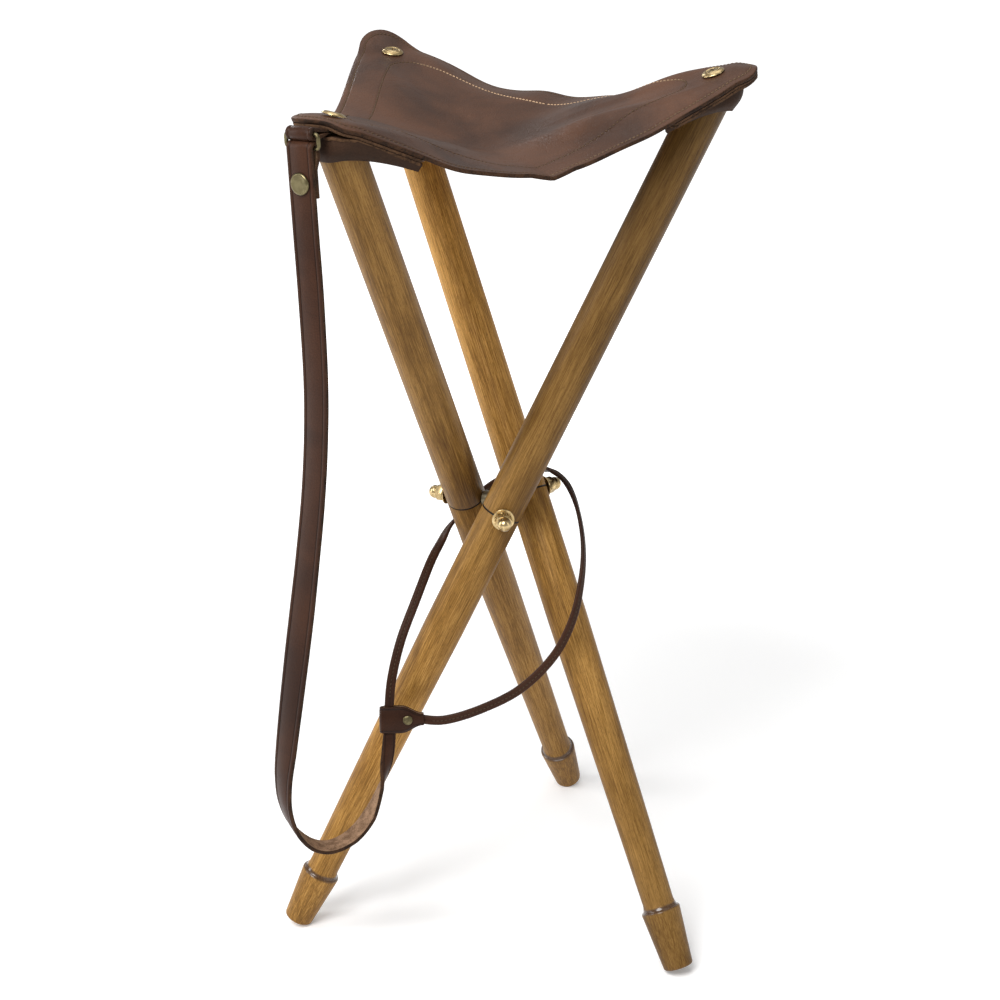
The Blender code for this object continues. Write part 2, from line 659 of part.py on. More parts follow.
for leg in ARM_AZIMUTHS:
    welt = [
        [under_seat(corner_edge(leg, share * SEAM_LENGTH) * inwards, GAP) for share in STATIONS]
        for inwards in (1.0, SEAM_SHARE)
    ]
    welt_mesh = skin_mesh(f"welt_{leg}", welt)
    thicken(on_leg(f"welt_{leg}", welt_mesh, POCKET_LEATHER, leg, smooth=50), WELT_THICK, -1)
    pocket_mesh = skin_mesh(f"pocket_{leg}", pocket_rows(leg))
    thicken(on_leg(f"pocket_{leg}", pocket_mesh, POCKET_LEATHER, leg, smooth=60), POCKET_THICK, -1)

    spot = corner_plan(leg, CORNER_REACH + SCREW_SHIFT, 0.0)
    normal = seat_normal(*spot)
    seated = under_seat(spot, -PANEL_THICK - 2 * GAP)
    place = frame_matrix(seated, unit(CORNER_AZIMUTHS[leg]), normal)
    turn(on_leg(f"cup_washer_{leg}", cup_mesh, BRASS, leg, place), 24)
    turn(on_leg(f"seat_screw_{leg}", screw_mesh, BRASS, leg, place), 16)
    hole = rod_mesh(f"screw_hole_{leg}", SCREW_RADIUS + GAP, -SCREW_LENGTH - GAP, CUP_HEIGHT, 16)
    boolean(LEG_PIECES[leg], cutter(f"screw_bore_{leg}", hole, place))
    boolean(seat_panel, cutter(f"panel_hole_{leg}", hole, place))


# Straps: smooth routes and flat bands

def smooth_route(points):
    """Points read from a smooth curve through a route's own points."""
    route = [Vector(point) for point in points]
    ends = [2 * route[0] - route[1], *route, 2 * route[-1] - route[-2]]
    found = []
    for a, b, c, d in zip(ends, ends[1:], ends[2:], ends[3:]):
        for step in range(STEPS_PER_SPAN):
            t = step / STEPS_PER_SPAN
            square = (2 * a - 5 * b + 4 * c - d) * t**2
            cube = (3 * b - a - 3 * c + d) * t**3
            found.append(0.5 * (2 * b + (c - a) * t + square + cube))
    return found + [route[-1]]


def spread(values):
    """Values for each point of a smooth route, from those at the route's own points."""
    found = []
    for first, second in zip(values, values[1:]):
        found += [first + (second - first) * (step / STEPS_PER_SPAN) for step in range(STEPS_PER_SPAN)]
    return found + [values[-1]]


def band_rows(points, across, widths):
    """The two edges of a flat band along its middle line."""
    left, right = [], []
    for i, point in enumerate(points):
        ahead = (points[min(i + 1, len(points) - 1)] - points[max(i - 1, 0)]).normalized()
        side = (across[i] - across[i].dot(ahead) * ahead).normalized() * widths[i] / 2
        left.append(point - side)
        right.append(point + side)
    return [left, right]


def band_mesh(name, points, across, widths):
    return skin_mesh(name, band_rows(points, across, widths))


# Ring, its tab, and the strap's end

RADIAL = unit(CORNER_AZIMUTHS[BLUNT_CORNER])
BAR = UP.cross(RADIAL)
TAB_TURN = RING_WIRE + GAP + TAB_THICK / 2
TAB_DEPTH = GAP + WELT_THICK + GAP + TAB_THICK / 2
RING_SPOT = corner_plan(BLUNT_CORNER, BLUNT_REACH + TAB_FREE + TAB_TURN + TAB_THICK / 2, 0.0)
TIP_SPOT = corner_plan(BLUNT_CORNER, BLUNT_REACH, 0.0)
RING_DEPTH = TAB_DEPTH + (TAB_THICK + GAP) / 2 + RING_SINK
RING_TOP = Vector((*RING_SPOT, under_seat(TIP_SPOT, 0.0).z - RING_DEPTH))
RING_PLACE = frame_matrix(RING_TOP, RADIAL, UP)
SWING = empty("ring_swing", RING_PLACE, FOLDS[BLUNT_CORNER], FOLD_PLACES[BLUNT_CORNER])


def on_ring(name, mesh, finish, place=HERE, smooth=None):
    return add(name, mesh, finish, SWING, RING_PLACE, place, smooth)


def fold_profile(centre, first, last, radius, out, up):
    """Points of a strip that comes in from one end, turns round a bar and goes back to the other end."""
    bend = [math.radians(90.0 - 22.5 * step) for step in range(9)]
    turned = [centre + radius * (math.cos(a) * out + math.sin(a) * up) for a in bend]
    return [first, *turned, last]


tab_from = corner_plan(BLUNT_CORNER, BLUNT_REACH - TAB_INSIDE, 0.0)
tab_upper = under_seat(tab_from, TAB_DEPTH)
tab_lower = under_seat(tab_from, TAB_DEPTH + TAB_THICK + GAP)
edge_upper = under_seat(TIP_SPOT, TAB_DEPTH)
edge_lower = under_seat(TIP_SPOT, TAB_DEPTH + TAB_THICK + GAP)
tab_line = fold_profile(RING_TOP, edge_upper, edge_lower, TAB_TURN, RADIAL, UP)
tab_line = [tab_upper, *tab_line, tab_lower]
count = len(tab_line)
tab_mesh = band_mesh("ring_tab", tab_line, [BAR] * count, [TAB_WIDTH] * count)
thicken(on_leg("ring_tab", tab_mesh, STRAP_LEATHER, BLUNT_CORNER, smooth=50), TAB_THICK, 0)


def ring_curve():
    """A rectangular wire loop with bent corners, hanging from the tab."""
    wire = bpy.data.curves.new("strap_ring", "CURVE")
    wire.dimensions = "3D"
    wire.bevel_depth = RING_WIRE
    wire.bevel_resolution = 2
    corners = ((1, 0, 0.0), (-1, 0, 90.0), (-1, 1, 180.0), (1, 1, 270.0))
    loop = []
    for side, low, start in corners:
        y = side * (RING_WIDTH / 2 - RING_BEND)
        z = -RING_HEIGHT + RING_BEND if low else -RING_BEND
        for step in range(5):
            angle = math.radians(start + 22.5 * step)
            loop.append((0.0, y + RING_BEND * math.cos(angle), z + RING_BEND * math.sin(angle)))
    line = wire.splines.new("POLY")
    line.points.add(len(loop) - 1)
    line.use_cyclic_u = True
    for point, place in zip(line.points, loop):
        point.co = (*place, 1.0)
    return wire


on_ring("strap_ring", ring_curve(), OLD_BRASS, RING_PLACE)

RING_LOW = RING_TOP - RING_HEIGHT * UP
STRAP_TURN = RING_WIRE + GAP + STRAP_THICK / 2
FRONT = RING_LOW + STRAP_TURN * RADIAL
BACK = FRONT - (STRAP_THICK + GAP) * RADIAL
end_line = [
    BACK - STRAP_TAIL_LENGTH * UP,
    BACK - STUD_BELOW_RING * UP,
    BACK - 0.6 * STUD_BELOW_RING * UP,
    RING_LOW - STRAP_TURN * RADIAL - 2 * STRAP_TURN * UP,
]
over = [math.radians(180.0 - 22.5 * step) for step in range(9)]
end_line += [RING_LOW + STRAP_TURN * (math.cos(a) * RADIAL + math.sin(a) * UP) for a in over]
end_line += [FRONT - STUD_BELOW_RING * UP, FRONT - STRAP_END_LENGTH * UP]
count = len(end_line)
end_mesh = band_mesh("strap_end", end_line, [BAR] * count, [STRAP_WIDTH] * count)
strap_end = thicken(on_ring("strap_end", end_mesh, STRAP_LEATHER, smooth=50), STRAP_THICK, 0)

press_face = FRONT - STUD_BELOW_RING * UP + (STRAP_THICK / 2 + GAP) * RADIAL
press_place = frame_matrix(press_face, UP, RADIAL)
PRESS_GRIP = 2 * STRAP_THICK + 3 * GAP
cap_profile = [
    (0.0, PRESS_CAP_HEIGHT),
    (0.6 * PRESS_CAP_RADIUS, 0.93 * PRESS_CAP_HEIGHT),
    (0.9 * PRESS_CAP_RADIUS, 0.65 * PRESS_CAP_HEIGHT),
    (PRESS_CAP_RADIUS, 0.25 * PRESS_CAP_HEIGHT),
    (PRESS_CAP_RADIUS, 0.0),
    (PRESS_POST_RADIUS, 0.0),
    (PRESS_POST_RADIUS, -PRESS_GRIP - PRESS_BASE_THICK),
    (0.0, -PRESS_GRIP - PRESS_BASE_THICK),
]
turn(on_ring("press_stud_cap", profile_mesh("press_stud_cap", cap_profile), OLD_BRASS, press_place), 24)
base_profile = [
    (0.8 * PRESS_BASE_RADIUS, 0.0),
    (PRESS_BASE_RADIUS, 0.0),
    (PRESS_BASE_RADIUS, -0.6 * PRESS_BASE_THICK),
    (0.8 * PRESS_BASE_RADIUS, -PRESS_BASE_THICK),
    (PRESS_POST_RADIUS + GAP, -PRESS_BASE_THICK),
    (PRESS_POST_RADIUS + GAP, 0.0),
]
base_mesh = profile_mesh("press_stud_base", base_profile, closed=True)
base_place = press_place @ Matrix.Translation((0, 0, -PRESS_GRIP))
turn(on_ring("press_stud_base", base_mesh, OLD_BRASS, base_place), 20)
post_hole = rod_mesh("press_hole", PRESS_POST_RADIUS + GAP, -2 * PRESS_GRIP, PRESS_GRIP, 16)
boolean(strap_end, cutter("press_stud_hole", post_hole, press_place))


# Carry strap, noose and keeper

KEEPER_OUT = Vector((1.0, 0.0, 0.0))
KEEPER_OUT = (KEEPER_OUT - KEEPER_OUT.dot(KEEPER_UP) * KEEPER_UP).normalized()
KEEPER_FACE = KEEPER_OUT.cross(KEEPER_UP)
KEEPER_HALF = KEEPER_HEIGHT / 2

carry_start = FRONT - (STRAP_END_LENGTH + GAP) * UP
carry_places = [
    carry_start,
    carry_start - STRAP_WIDTH / 2 * UP,
    *(Vector(place) for place, across, width in CARRY_ROUTE),
    KEEPER_CENTRE - (KEEPER_HALF + GAP) * KEEPER_UP,
    KEEPER_CENTRE - GAP / 2 * KEEPER_UP,
]
carry_across = [BAR, BAR, *(Vector(across) for place, across, width in CARRY_ROUTE)]
carry_across += [-KEEPER_OUT, -KEEPER_OUT]
carry_widths = [STRAP_WIDTH, STRAP_WIDTH, *(width for place, across, width in CARRY_ROUTE)]
carry_widths += [NECK_WIDTH, NECK_WIDTH]
carry_mesh = band_mesh("carry_strap", smooth_route(carry_places), spread(carry_across), spread(carry_widths))
thicken(add("carry_strap", carry_mesh, STRAP_LEATHER, smooth=50), STRAP_THICK, 0)

noose_places = [
    KEEPER_CENTRE + GAP / 2 * KEEPER_UP,
    KEEPER_CENTRE + (KEEPER_HALF + GAP) * KEEPER_UP,
    *(Vector(place) for place, across in NOOSE_ROUTE),
    KEEPER_CENTRE + (KEEPER_TONGUE + 2 * GAP) * KEEPER_OUT,
    KEEPER_CENTRE + (NECK_WIDTH / 2 + 2 * GAP) * KEEPER_OUT,
]
noose_across = [-KEEPER_OUT, -KEEPER_OUT, *(Vector(across) for place, across in NOOSE_ROUTE)]
noose_across += [-KEEPER_UP, -KEEPER_UP]
noose_line = smooth_route(noose_places)
noose_mesh = band_mesh("noose", noose_line, spread(noose_across), [NOOSE_WIDTH] * len(noose_line))
noose = thicken(add("noose", noose_mesh, STRAP_LEATHER, smooth=50), NOOSE_THICK, 0)

keeper_turn = NOOSE_THICK / 2 + GAP + KEEPER_THICK / 2
keeper_bend = KEEPER_CENTRE - (NECK_WIDTH / 2 - NOOSE_THICK / 4) * KEEPER_OUT
tongue = KEEPER_CENTRE + KEEPER_TONGUE * KEEPER_OUT
keeper_line = fold_profile(
    keeper_bend,
    tongue + keeper_turn * KEEPER_FACE,
    tongue - keeper_turn * KEEPER_FACE,
    keeper_turn,
    -KEEPER_OUT,
    KEEPER_FACE,
)
count = len(keeper_line)
keeper_mesh = band_mesh("keeper", keeper_line, [KEEPER_UP] * count, [KEEPER_HEIGHT] * count)
keeper = thicken(add("keeper", keeper_mesh, STRAP_LEATHER, smooth=50), KEEPER_THICK, 0)

rivet_centre = KEEPER_CENTRE + RIVET_PLACE * KEEPER_OUT
rivet_place = frame_matrix(rivet_centre, KEEPER_UP, KEEPER_FACE)
RIVET_GRIP = keeper_turn + KEEPER_THICK / 2 + GAP
rivet_profile = [
    (0.0, RIVET_GRIP + RIVET_HEAD_HEIGHT),
    (0.7 * RIVET_HEAD_RADIUS, RIVET_GRIP + 0.8 * RIVET_HEAD_HEIGHT),
    (RIVET_HEAD_RADIUS, RIVET_GRIP + 0.3 * RIVET_HEAD_HEIGHT),
    (RIVET_HEAD_RADIUS, RIVET_GRIP),
    (RIVET_RADIUS, RIVET_GRIP),
    (RIVET_RADIUS, -RIVET_GRIP),
    (RIVET_HEAD_RADIUS, -RIVET_GRIP),
    (RIVET_HEAD_RADIUS, -RIVET_GRIP - 0.3 * RIVET_HEAD_HEIGHT),
    (0.7 * RIVET_HEAD_RADIUS, -RIVET_GRIP - 0.8 * RIVET_HEAD_HEIGHT),
    (0.0, -RIVET_GRIP - RIVET_HEAD_HEIGHT),
]
turn(add("keeper_rivet", profile_mesh("keeper_rivet", rivet_profile), OLD_BRASS, place=rivet_place), 16)
rivet_hole = rod_mesh("rivet_hole", RIVET_RADIUS + GAP, -2 * RIVET_GRIP, 2 * RIVET_GRIP, 12)
for layer in (keeper, noose):
    boolean(layer, cutter(f"rivet_hole_{layer.name}", rivet_hole, rivet_place))


# What the joints need, measured from the finished layout

bpy.context.view_layer.update()
for leg, azimuth in ARM_AZIMUTHS.items():
    pivot = FOLDS[leg].matrix_world.translation
    print("fold", leg, [round(v, 5) for v in pivot], [round(v, 5) for v in unit(azimuth)])
print("ring swing", [round(v, 5) for v in SWING.matrix_world.translation], [round(v, 5) for v in BAR])
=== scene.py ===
# %% [markdown]
# # A folding tripod stool in turned wood and leather
# The imported model gives every piece its place in metres, with +Z up. This lesson remakes what shows with
# finer forms and real finishes: the straps first, then the legs, the hardware, the leather seat and its
# corners, and last the light. Each piece stays where its solid is, and most are hung on the body they move
# with.

# %% Load the frame
import json
import math

import bpy
import numpy as np
from mathutils import Matrix, Vector


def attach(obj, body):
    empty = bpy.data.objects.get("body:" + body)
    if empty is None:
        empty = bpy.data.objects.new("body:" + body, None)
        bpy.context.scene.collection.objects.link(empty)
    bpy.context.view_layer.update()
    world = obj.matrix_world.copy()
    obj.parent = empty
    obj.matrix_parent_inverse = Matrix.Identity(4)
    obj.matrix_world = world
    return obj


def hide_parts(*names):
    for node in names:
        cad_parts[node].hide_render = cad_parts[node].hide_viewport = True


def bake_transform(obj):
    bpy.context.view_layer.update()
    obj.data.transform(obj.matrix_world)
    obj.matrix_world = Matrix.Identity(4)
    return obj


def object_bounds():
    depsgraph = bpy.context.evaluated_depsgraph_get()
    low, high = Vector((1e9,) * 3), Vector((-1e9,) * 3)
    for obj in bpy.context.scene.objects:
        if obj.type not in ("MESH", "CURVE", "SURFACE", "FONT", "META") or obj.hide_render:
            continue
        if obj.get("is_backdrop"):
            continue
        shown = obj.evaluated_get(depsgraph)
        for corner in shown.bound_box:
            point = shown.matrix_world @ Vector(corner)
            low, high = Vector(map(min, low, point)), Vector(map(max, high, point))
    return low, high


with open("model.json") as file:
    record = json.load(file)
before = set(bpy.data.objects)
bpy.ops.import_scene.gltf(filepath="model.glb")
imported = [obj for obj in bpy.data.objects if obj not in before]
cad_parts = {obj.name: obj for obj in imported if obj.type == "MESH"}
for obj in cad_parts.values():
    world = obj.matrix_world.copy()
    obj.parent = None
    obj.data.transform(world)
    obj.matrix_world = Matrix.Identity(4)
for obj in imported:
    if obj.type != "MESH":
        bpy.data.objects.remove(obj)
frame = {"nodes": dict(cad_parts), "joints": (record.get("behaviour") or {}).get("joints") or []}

cad_low, cad_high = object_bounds()
print("frame", len(frame["nodes"]), "nodes", [round(v, 4) for v in cad_high - cad_low])

# %% [markdown]
# ## Camera
# The stool is seen from the front and a little above. One perspective camera was fitted to the three equal
# legs, which gives its place, its direction and a lens of about 70 mm on a 36 mm frame. A longer lens further
# off would flatten the legs' spread, so the fitted one is kept.

# %% Camera
camera_data = bpy.data.cameras.new("camera")
camera_data.lens = 70.52
camera_data.sensor_width = 36.0
camera = bpy.data.objects.new("camera", camera_data)
bpy.context.scene.collection.objects.link(camera)
ahead = Vector((0.0687, 0.9327, -0.3541)).normalized()
sideways = Vector((0.9953, -0.0883, -0.0394))
sideways = (sideways - sideways.dot(ahead) * ahead).normalized()
upwards = sideways.cross(ahead)
camera_turn = Matrix((sideways, upwards, -ahead)).transposed().to_4x4()
camera.matrix_world = Matrix.Translation((-0.1021, -1.3837, 0.85545)) @ camera_turn
bpy.context.scene.camera = camera
print("camera at", [round(v, 3) for v in camera.matrix_world.translation])

# %% [markdown]
# ## Places
# Everything is laid out from the centre of the stud on which the legs cross. Each leg turns on one of the
# stud's three arms and leans 27.8 degrees, and the strap's ring hangs from the seat's left corner. The
# ring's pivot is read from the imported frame, so it can't drift from the model.

# %% Places of the stud, the legs and the ring
UP = Vector((0.0, 0.0, 1.0))
STUD = Vector((-0.0025, -0.0124, 0.33535))
GAP = 0.0003
LEAN = math.radians(27.8)
ARMS = {"right": -90.0, "back": 30.0, "left": 150.0}
LEG_RADIUS = 0.015
LEG_ABOVE = 0.348
LEG_BELOW = 0.374
ARM_REACH = 0.027


def unit(azimuth):
    return Vector((math.cos(math.radians(azimuth)), math.sin(math.radians(azimuth)), 0.0))


def stand(origin, x_axis, z_axis):
    """A placement with +Z along z_axis and +X as near x_axis as it can be."""
    z = z_axis.normalized()
    x = (x_axis - x_axis.dot(z) * z).normalized()
    return Matrix.Translation(origin) @ Matrix((x, z.cross(x), z)).transposed().to_4x4()


LEG_PLACES = {
    leg: stand(STUD + ARM_REACH * unit(azimuth), unit(azimuth), UP) @ Matrix.Rotation(-LEAN, 4, "X")
    for leg, azimuth in ARMS.items()
}
LEG_END = {leg: LEG_PLACES[leg] @ Vector((0.0, 0.0, LEG_ABOVE - LEG_RADIUS)) - STUD for leg in ARMS}
CORNERS = {leg: math.degrees(math.atan2(end.y, end.x)) for leg, end in LEG_END.items()}
ring_joint = next(joint for joint in frame["joints"] if joint["name"] == "ring_swing")
RING_TOP = Vector(ring_joint["pos_m"])
RADIAL = unit(CORNERS["left"])
BAR = UP.cross(RADIAL)
print("corners", {leg: round(azimuth, 1) for leg, azimuth in CORNERS.items()})

# %% [markdown]
# ## Shader helpers
# A material is a small tree of nodes. Written out link by link it is hard to follow, so one helper sets plain
# values on a node's sockets and links whatever is already a socket, and the others add nodes by way of it.

# %% Node helpers
def feed(tree, made, values):
    for name, value in values.items():
        if isinstance(value, bpy.types.NodeSocket):
            tree.links.new(value, made.inputs[name])
        else:
            made.inputs[name].default_value = value


def add_node(tree, kind, values=None, **settings):
    """A node of a tree: settings are its own, values go to its input sockets or are linked to them."""
    made = tree.nodes.new(kind)
    for name, value in settings.items():
        setattr(made, name, value)
    feed(tree, made, values or {})
    return made


def maths(tree, operation, first, second=0.5, third=0.5):
    made = add_node(tree, "ShaderNodeMath", {0: first, 1: second, 2: third}, operation=operation)
    return made.outputs[0]


def blend_colour(tree, share, first, second, kind="MIX"):
    """A mix of two colours, whose sockets on the node go by number."""
    sent = {0: share, 6: first, 7: second}
    return add_node(tree, "ShaderNodeMix", sent, data_type="RGBA", blend_type=kind).outputs[2]


def ranged(tree, value, low, high, to_low=0.0, to_high=1.0):
    sent = {"Value": value, "From Min": low, "From Max": high, "To Min": to_low, "To Max": to_high}
    return add_node(tree, "ShaderNodeMapRange", sent, interpolation_type="SMOOTHSTEP").outputs["Result"]


def scaled(tree, vector, scale):
    made = add_node(tree, "ShaderNodeVectorMath", {0: vector, 1: scale}, operation="MULTIPLY")
    return made.outputs["Vector"]


def noise(tree, vector, scale, detail=3.0, rough=0.5, distortion=0.0):
    sent = {"Vector": vector, "Scale": scale, "Detail": detail, "Roughness": rough, "Distortion": distortion}
    return add_node(tree, "ShaderNodeTexNoise", sent).outputs["Fac"]


def new_group(name, inputs, outputs):
    """An empty shader node group with named sockets, and its two end nodes."""
    tree = bpy.data.node_groups.new(name, "ShaderNodeTree")
    for socket, kind in inputs:
        tree.interface.new_socket(socket, in_out="INPUT", socket_type=kind)
    for socket, kind in outputs:
        tree.interface.new_socket(socket, in_out="OUTPUT", socket_type=kind)
    return tree, tree.nodes.new("NodeGroupInput").outputs, tree.nodes.new("NodeGroupOutput").inputs


def new_material(name):
    made = bpy.data.materials.new(name)
    made.use_nodes = True
    return made, made.node_tree, made.node_tree.nodes["Principled BSDF"]


def use_group(tree, group, values):
    return add_node(tree, "ShaderNodeGroup", values, node_tree=group).outputs


def bump(tree, shader, height, strength, distance):
    made = add_node(tree, "ShaderNodeBump", {"Height": height, "Strength": strength, "Distance": distance})
    feed(tree, shader, {"Normal": made.outputs["Normal"]})


print("shader helpers ready")

# %% [markdown]
# ## Leather grain
# Every leather here has the same skin: pebbles about a millimetre across, finer pores between them, soft
# creases, and dye that took unevenly. One group gives these as a height, a mottle and a crease mask, and each
# leather sets its own scale. The group reads a map in metres that follows the leather, so that the grain
# bends with it and doesn't slide.

# %% Leather grain group
leather_grain, given, sent = new_group(
    "leather grain",
    [("Map", "NodeSocketVector"), ("Pebble size", "NodeSocketFloat"), ("Cloud size", "NodeSocketFloat")],
    [("Height", "NodeSocketFloat"), ("Mottle", "NodeSocketFloat"), ("Crease", "NodeSocketFloat")],
)
pebble_scale = maths(leather_grain, "DIVIDE", 1.0, given["Pebble size"])
pebbles = add_node(leather_grain, "ShaderNodeTexVoronoi", {"Vector": given["Map"], "Scale": pebble_scale})
pebbles.feature = "SMOOTH_F1"
pores = noise(leather_grain, given["Map"], maths(leather_grain, "MULTIPLY", pebble_scale, 2.2), 2.0)
cloud_scale = maths(leather_grain, "DIVIDE", 1.0, given["Cloud size"])
clouds = noise(leather_grain, given["Map"], cloud_scale, 5.0, 0.55, 0.6)
lines = noise(leather_grain, given["Map"], maths(leather_grain, "MULTIPLY", cloud_scale, 2.6), 6.0, 0.6, 1.2)
off_line = maths(leather_grain, "ABSOLUTE", maths(leather_grain, "SUBTRACT", lines, 0.5))
crease = ranged(leather_grain, off_line, 0.0, 0.035, 1.0, 0.0)
skin = maths(leather_grain, "MULTIPLY", pebbles.outputs[0], -0.8)
skin = maths(leather_grain, "MULTIPLY_ADD", pores, 0.45, skin)
skin = maths(leather_grain, "MULTIPLY_ADD", crease, -0.5, skin)
leather_grain.links.new(skin, sent["Height"])
leather_grain.links.new(clouds, sent["Mottle"])
leather_grain.links.new(crease, sent["Crease"])
print("leather grain outputs", [socket.name for socket in sent if socket.name])

# %% [markdown]
# ## Seat, pocket and strap leathers
# The seat is dark brown with reddish clouds and a soft waxed sheen, the pockets under it are plainer and
# duller, and the straps are the smoothest, with a pressed line along each edge. Colour, roughness and bump
# all come from the grain group, an attribute darkens the dye along seams and pressed lines, and what is the
# same everywhere is set on the shader itself.

# %% Leathers
def leather(name, dark, red, pebble, cloud, rough, shine, bump_depth):
    made, tree, shader = new_material(name)
    flat_map = add_node(tree, "ShaderNodeUVMap", uv_map="leather_map").outputs["UV"]
    grain = use_group(tree, leather_grain, {"Map": flat_map, "Pebble size": pebble, "Cloud size": cloud})
    tone = ranged(tree, grain["Mottle"], 0.3, 0.7)
    colour = blend_colour(tree, tone, (*dark, 1.0), (*red, 1.0))
    speckle = ranged(tree, noise(tree, flat_map, 900.0, 2.0), 0.35, 0.7, 0.86, 1.08)
    colour = blend_colour(tree, 1.0, colour, speckle, "MULTIPLY")
    worn = add_node(tree, "ShaderNodeAttribute", attribute_name="worn").outputs["Fac"]
    colour = blend_colour(tree, worn, colour, (dark[0] * 0.35, dark[1] * 0.35, dark[2] * 0.35, 1.0))
    gloss = maths(tree, "MULTIPLY_ADD", grain["Mottle"], 0.22, rough - 0.11)
    gloss = maths(tree, "MULTIPLY_ADD", grain["Crease"], 0.06, gloss)
    feed(tree, shader, {"Base Color": colour, "Roughness": gloss, "Specular IOR Level": shine})
    bump(tree, shader, grain["Height"], 0.5, bump_depth)
    return made


seat_leather = leather("seat leather", (0.040, 0.018, 0.010), (0.098, 0.042, 0.021),
                       0.0011, 0.08, 0.38, 0.20, 0.0002)
pocket_leather = leather("pocket leather", (0.028, 0.015, 0.009), (0.048, 0.024, 0.014),
                         0.0010, 0.05, 0.62, 0.10, 0.0002)
strap_leather = leather("strap leather", (0.030, 0.013, 0.008), (0.053, 0.022, 0.012),
                        0.0008, 0.06, 0.36, 0.09, 0.0001)
print("leathers", [made.name for made in (seat_leather, pocket_leather, strap_leather)])

# %% [markdown]
# ## Flesh side and cut edges
# Under its skin leather is fibre: the back of the strap is a paler, fuzzy suede, the cut edges of the seat
# and the straps are dyed dark, and those of the welts and pockets show some tan. All three use one group of
# short fibres, each with a fibre size of its own.

# %% Fibres, flesh side and cut edge
leather_fibre, given, sent = new_group(
    "leather fibre",
    [("Map", "NodeSocketVector"), ("Fibre size", "NodeSocketFloat")],
    [("Height", "NodeSocketFloat"), ("Tone", "NodeSocketFloat")],
)
fibre_scale = maths(leather_fibre, "DIVIDE", 1.0, given["Fibre size"])
tufts = noise(leather_fibre, given["Map"], fibre_scale, 3.0, 0.6)
patches = noise(leather_fibre, given["Map"], maths(leather_fibre, "MULTIPLY", fibre_scale, 0.12), 3.0)
leather_fibre.links.new(tufts, sent["Height"])
fibre_tone = maths(leather_fibre, "MULTIPLY_ADD", patches, 0.5, maths(leather_fibre, "MULTIPLY", tufts, 0.5))
leather_fibre.links.new(fibre_tone, sent["Tone"])


def fibrous(name, dark, pale, fibre, rough, bump_depth):
    made, tree, shader = new_material(name)
    place = add_node(tree, "ShaderNodeTexCoord").outputs["Object"]
    fibres = use_group(tree, leather_fibre, {"Map": place, "Fibre size": fibre})
    colour = blend_colour(tree, ranged(tree, fibres["Tone"], 0.36, 0.62), (*dark, 1.0), (*pale, 1.0))
    gloss = maths(tree, "MULTIPLY_ADD", fibres["Height"], 0.12, rough)
    feed(tree, shader, {"Base Color": colour, "Roughness": gloss, "Specular IOR Level": 0.1})
    bump(tree, shader, fibres["Height"], 0.6, bump_depth)
    return made


flesh_side = fibrous("flesh side", (0.130, 0.074, 0.042), (0.330, 0.205, 0.125), 0.0008, 0.82, 0.0003)
cut_edge = fibrous("cut edge", (0.016, 0.009, 0.006), (0.060, 0.029, 0.015), 0.0012, 0.62, 0.0002)
tan_edge = fibrous("tan edge", (0.020, 0.011, 0.007), (0.105, 0.055, 0.028), 0.0014, 0.7, 0.0002)
print("fibrous finishes", flesh_side.name, cut_edge.name, tan_edge.name)

# %% [markdown]
# ## Thread
# The seams are sewn with waxed thread. It is too thin for a pattern of its own, so a fine noise only hints at
# its twist, and an attribute sets its tone and paints a highlight where it would catch the light, most along
# the rear seam.

# %% Thread
thread, tree, shader = new_material("waxed thread")
place = add_node(tree, "ShaderNodeTexCoord").outputs["Object"]
# 'pale' is the thread's own tone, plus a painted highlight where the thread would catch the light.
pale = add_node(tree, "ShaderNodeAttribute", attribute_name="pale").outputs["Fac"]
colour = blend_colour(tree, pale, (0.022, 0.011, 0.007, 1.0), (0.62, 0.42, 0.26, 1.0))
twist = noise(tree, place, 2400.0, 2.0)
colour = blend_colour(tree, 1.0, colour, ranged(tree, twist, 0.3, 0.7, 0.7, 1.15), "MULTIPLY")
gloss = ranged(tree, twist, 0.3, 0.7, 0.65, 0.85)
feed(tree, shader, {"Base Color": colour, "Roughness": gloss, "Specular IOR Level": 0.08})
bump(tree, shader, twist, 0.5, 0.0002)
print("thread", thread.name)

# %% [markdown]
# ## Stained wood
# The legs are turned from a pale hardwood with long straight grain, stained golden brown and waxed. Wood
# grain runs through the stick, not round it, so each leg carries its own straight coordinates as an
# attribute: the pattern is stretched along the leg, has no seam, and turns with it. Fine fibres, short dark
# pores and slow changes of tone lie over each other. A second attribute paints light and shade along each
# leg: the right leg darkens towards its top, where the seat shades it, and the back leg is lit brighter over
# its upper half, with some real difference of stain between the sticks. A narrow band in the cove over the
# collar is a painted shade under a glossy coat, and the burned line at the stud is dark.

# %% Stained wood
COVE_BELOW = 0.3276
stained_wood, tree, shader = new_material("stained wood")
stick = add_node(tree, "ShaderNodeAttribute", attribute_name="stick").outputs["Vector"]
bands = noise(tree, scaled(tree, stick, (130.0, 130.0, 3.2)), 1.0, 4.0, 0.55, 0.35)
streaks = noise(tree, scaled(tree, stick, (460.0, 460.0, 9.0)), 1.0, 3.0, 0.6, 0.2)
fibres = noise(tree, scaled(tree, stick, (1500.0, 1500.0, 45.0)), 1.0, 4.0, 0.65)
pores = noise(tree, scaled(tree, stick, (2600.0, 2600.0, 300.0)), 1.0, 2.0, 0.5)
blotch = noise(tree, scaled(tree, stick, (30.0, 30.0, 11.0)), 1.0, 3.0)
tone = maths(tree, "MULTIPLY_ADD", fibres, 0.6, maths(tree, "MULTIPLY", bands, 0.24))
tone = maths(tree, "MULTIPLY_ADD", streaks, 0.14, tone)
tone = maths(tree, "MULTIPLY_ADD", blotch, 0.3, tone)
stain = add_node(tree, "ShaderNodeValToRGB", {"Fac": ranged(tree, tone, 0.45, 0.83)})
ramp = stain.color_ramp.elements
ramp[0].position = 0.0
ramp[0].color = (0.105, 0.046, 0.008, 1.0)
ramp[1].position = 1.0
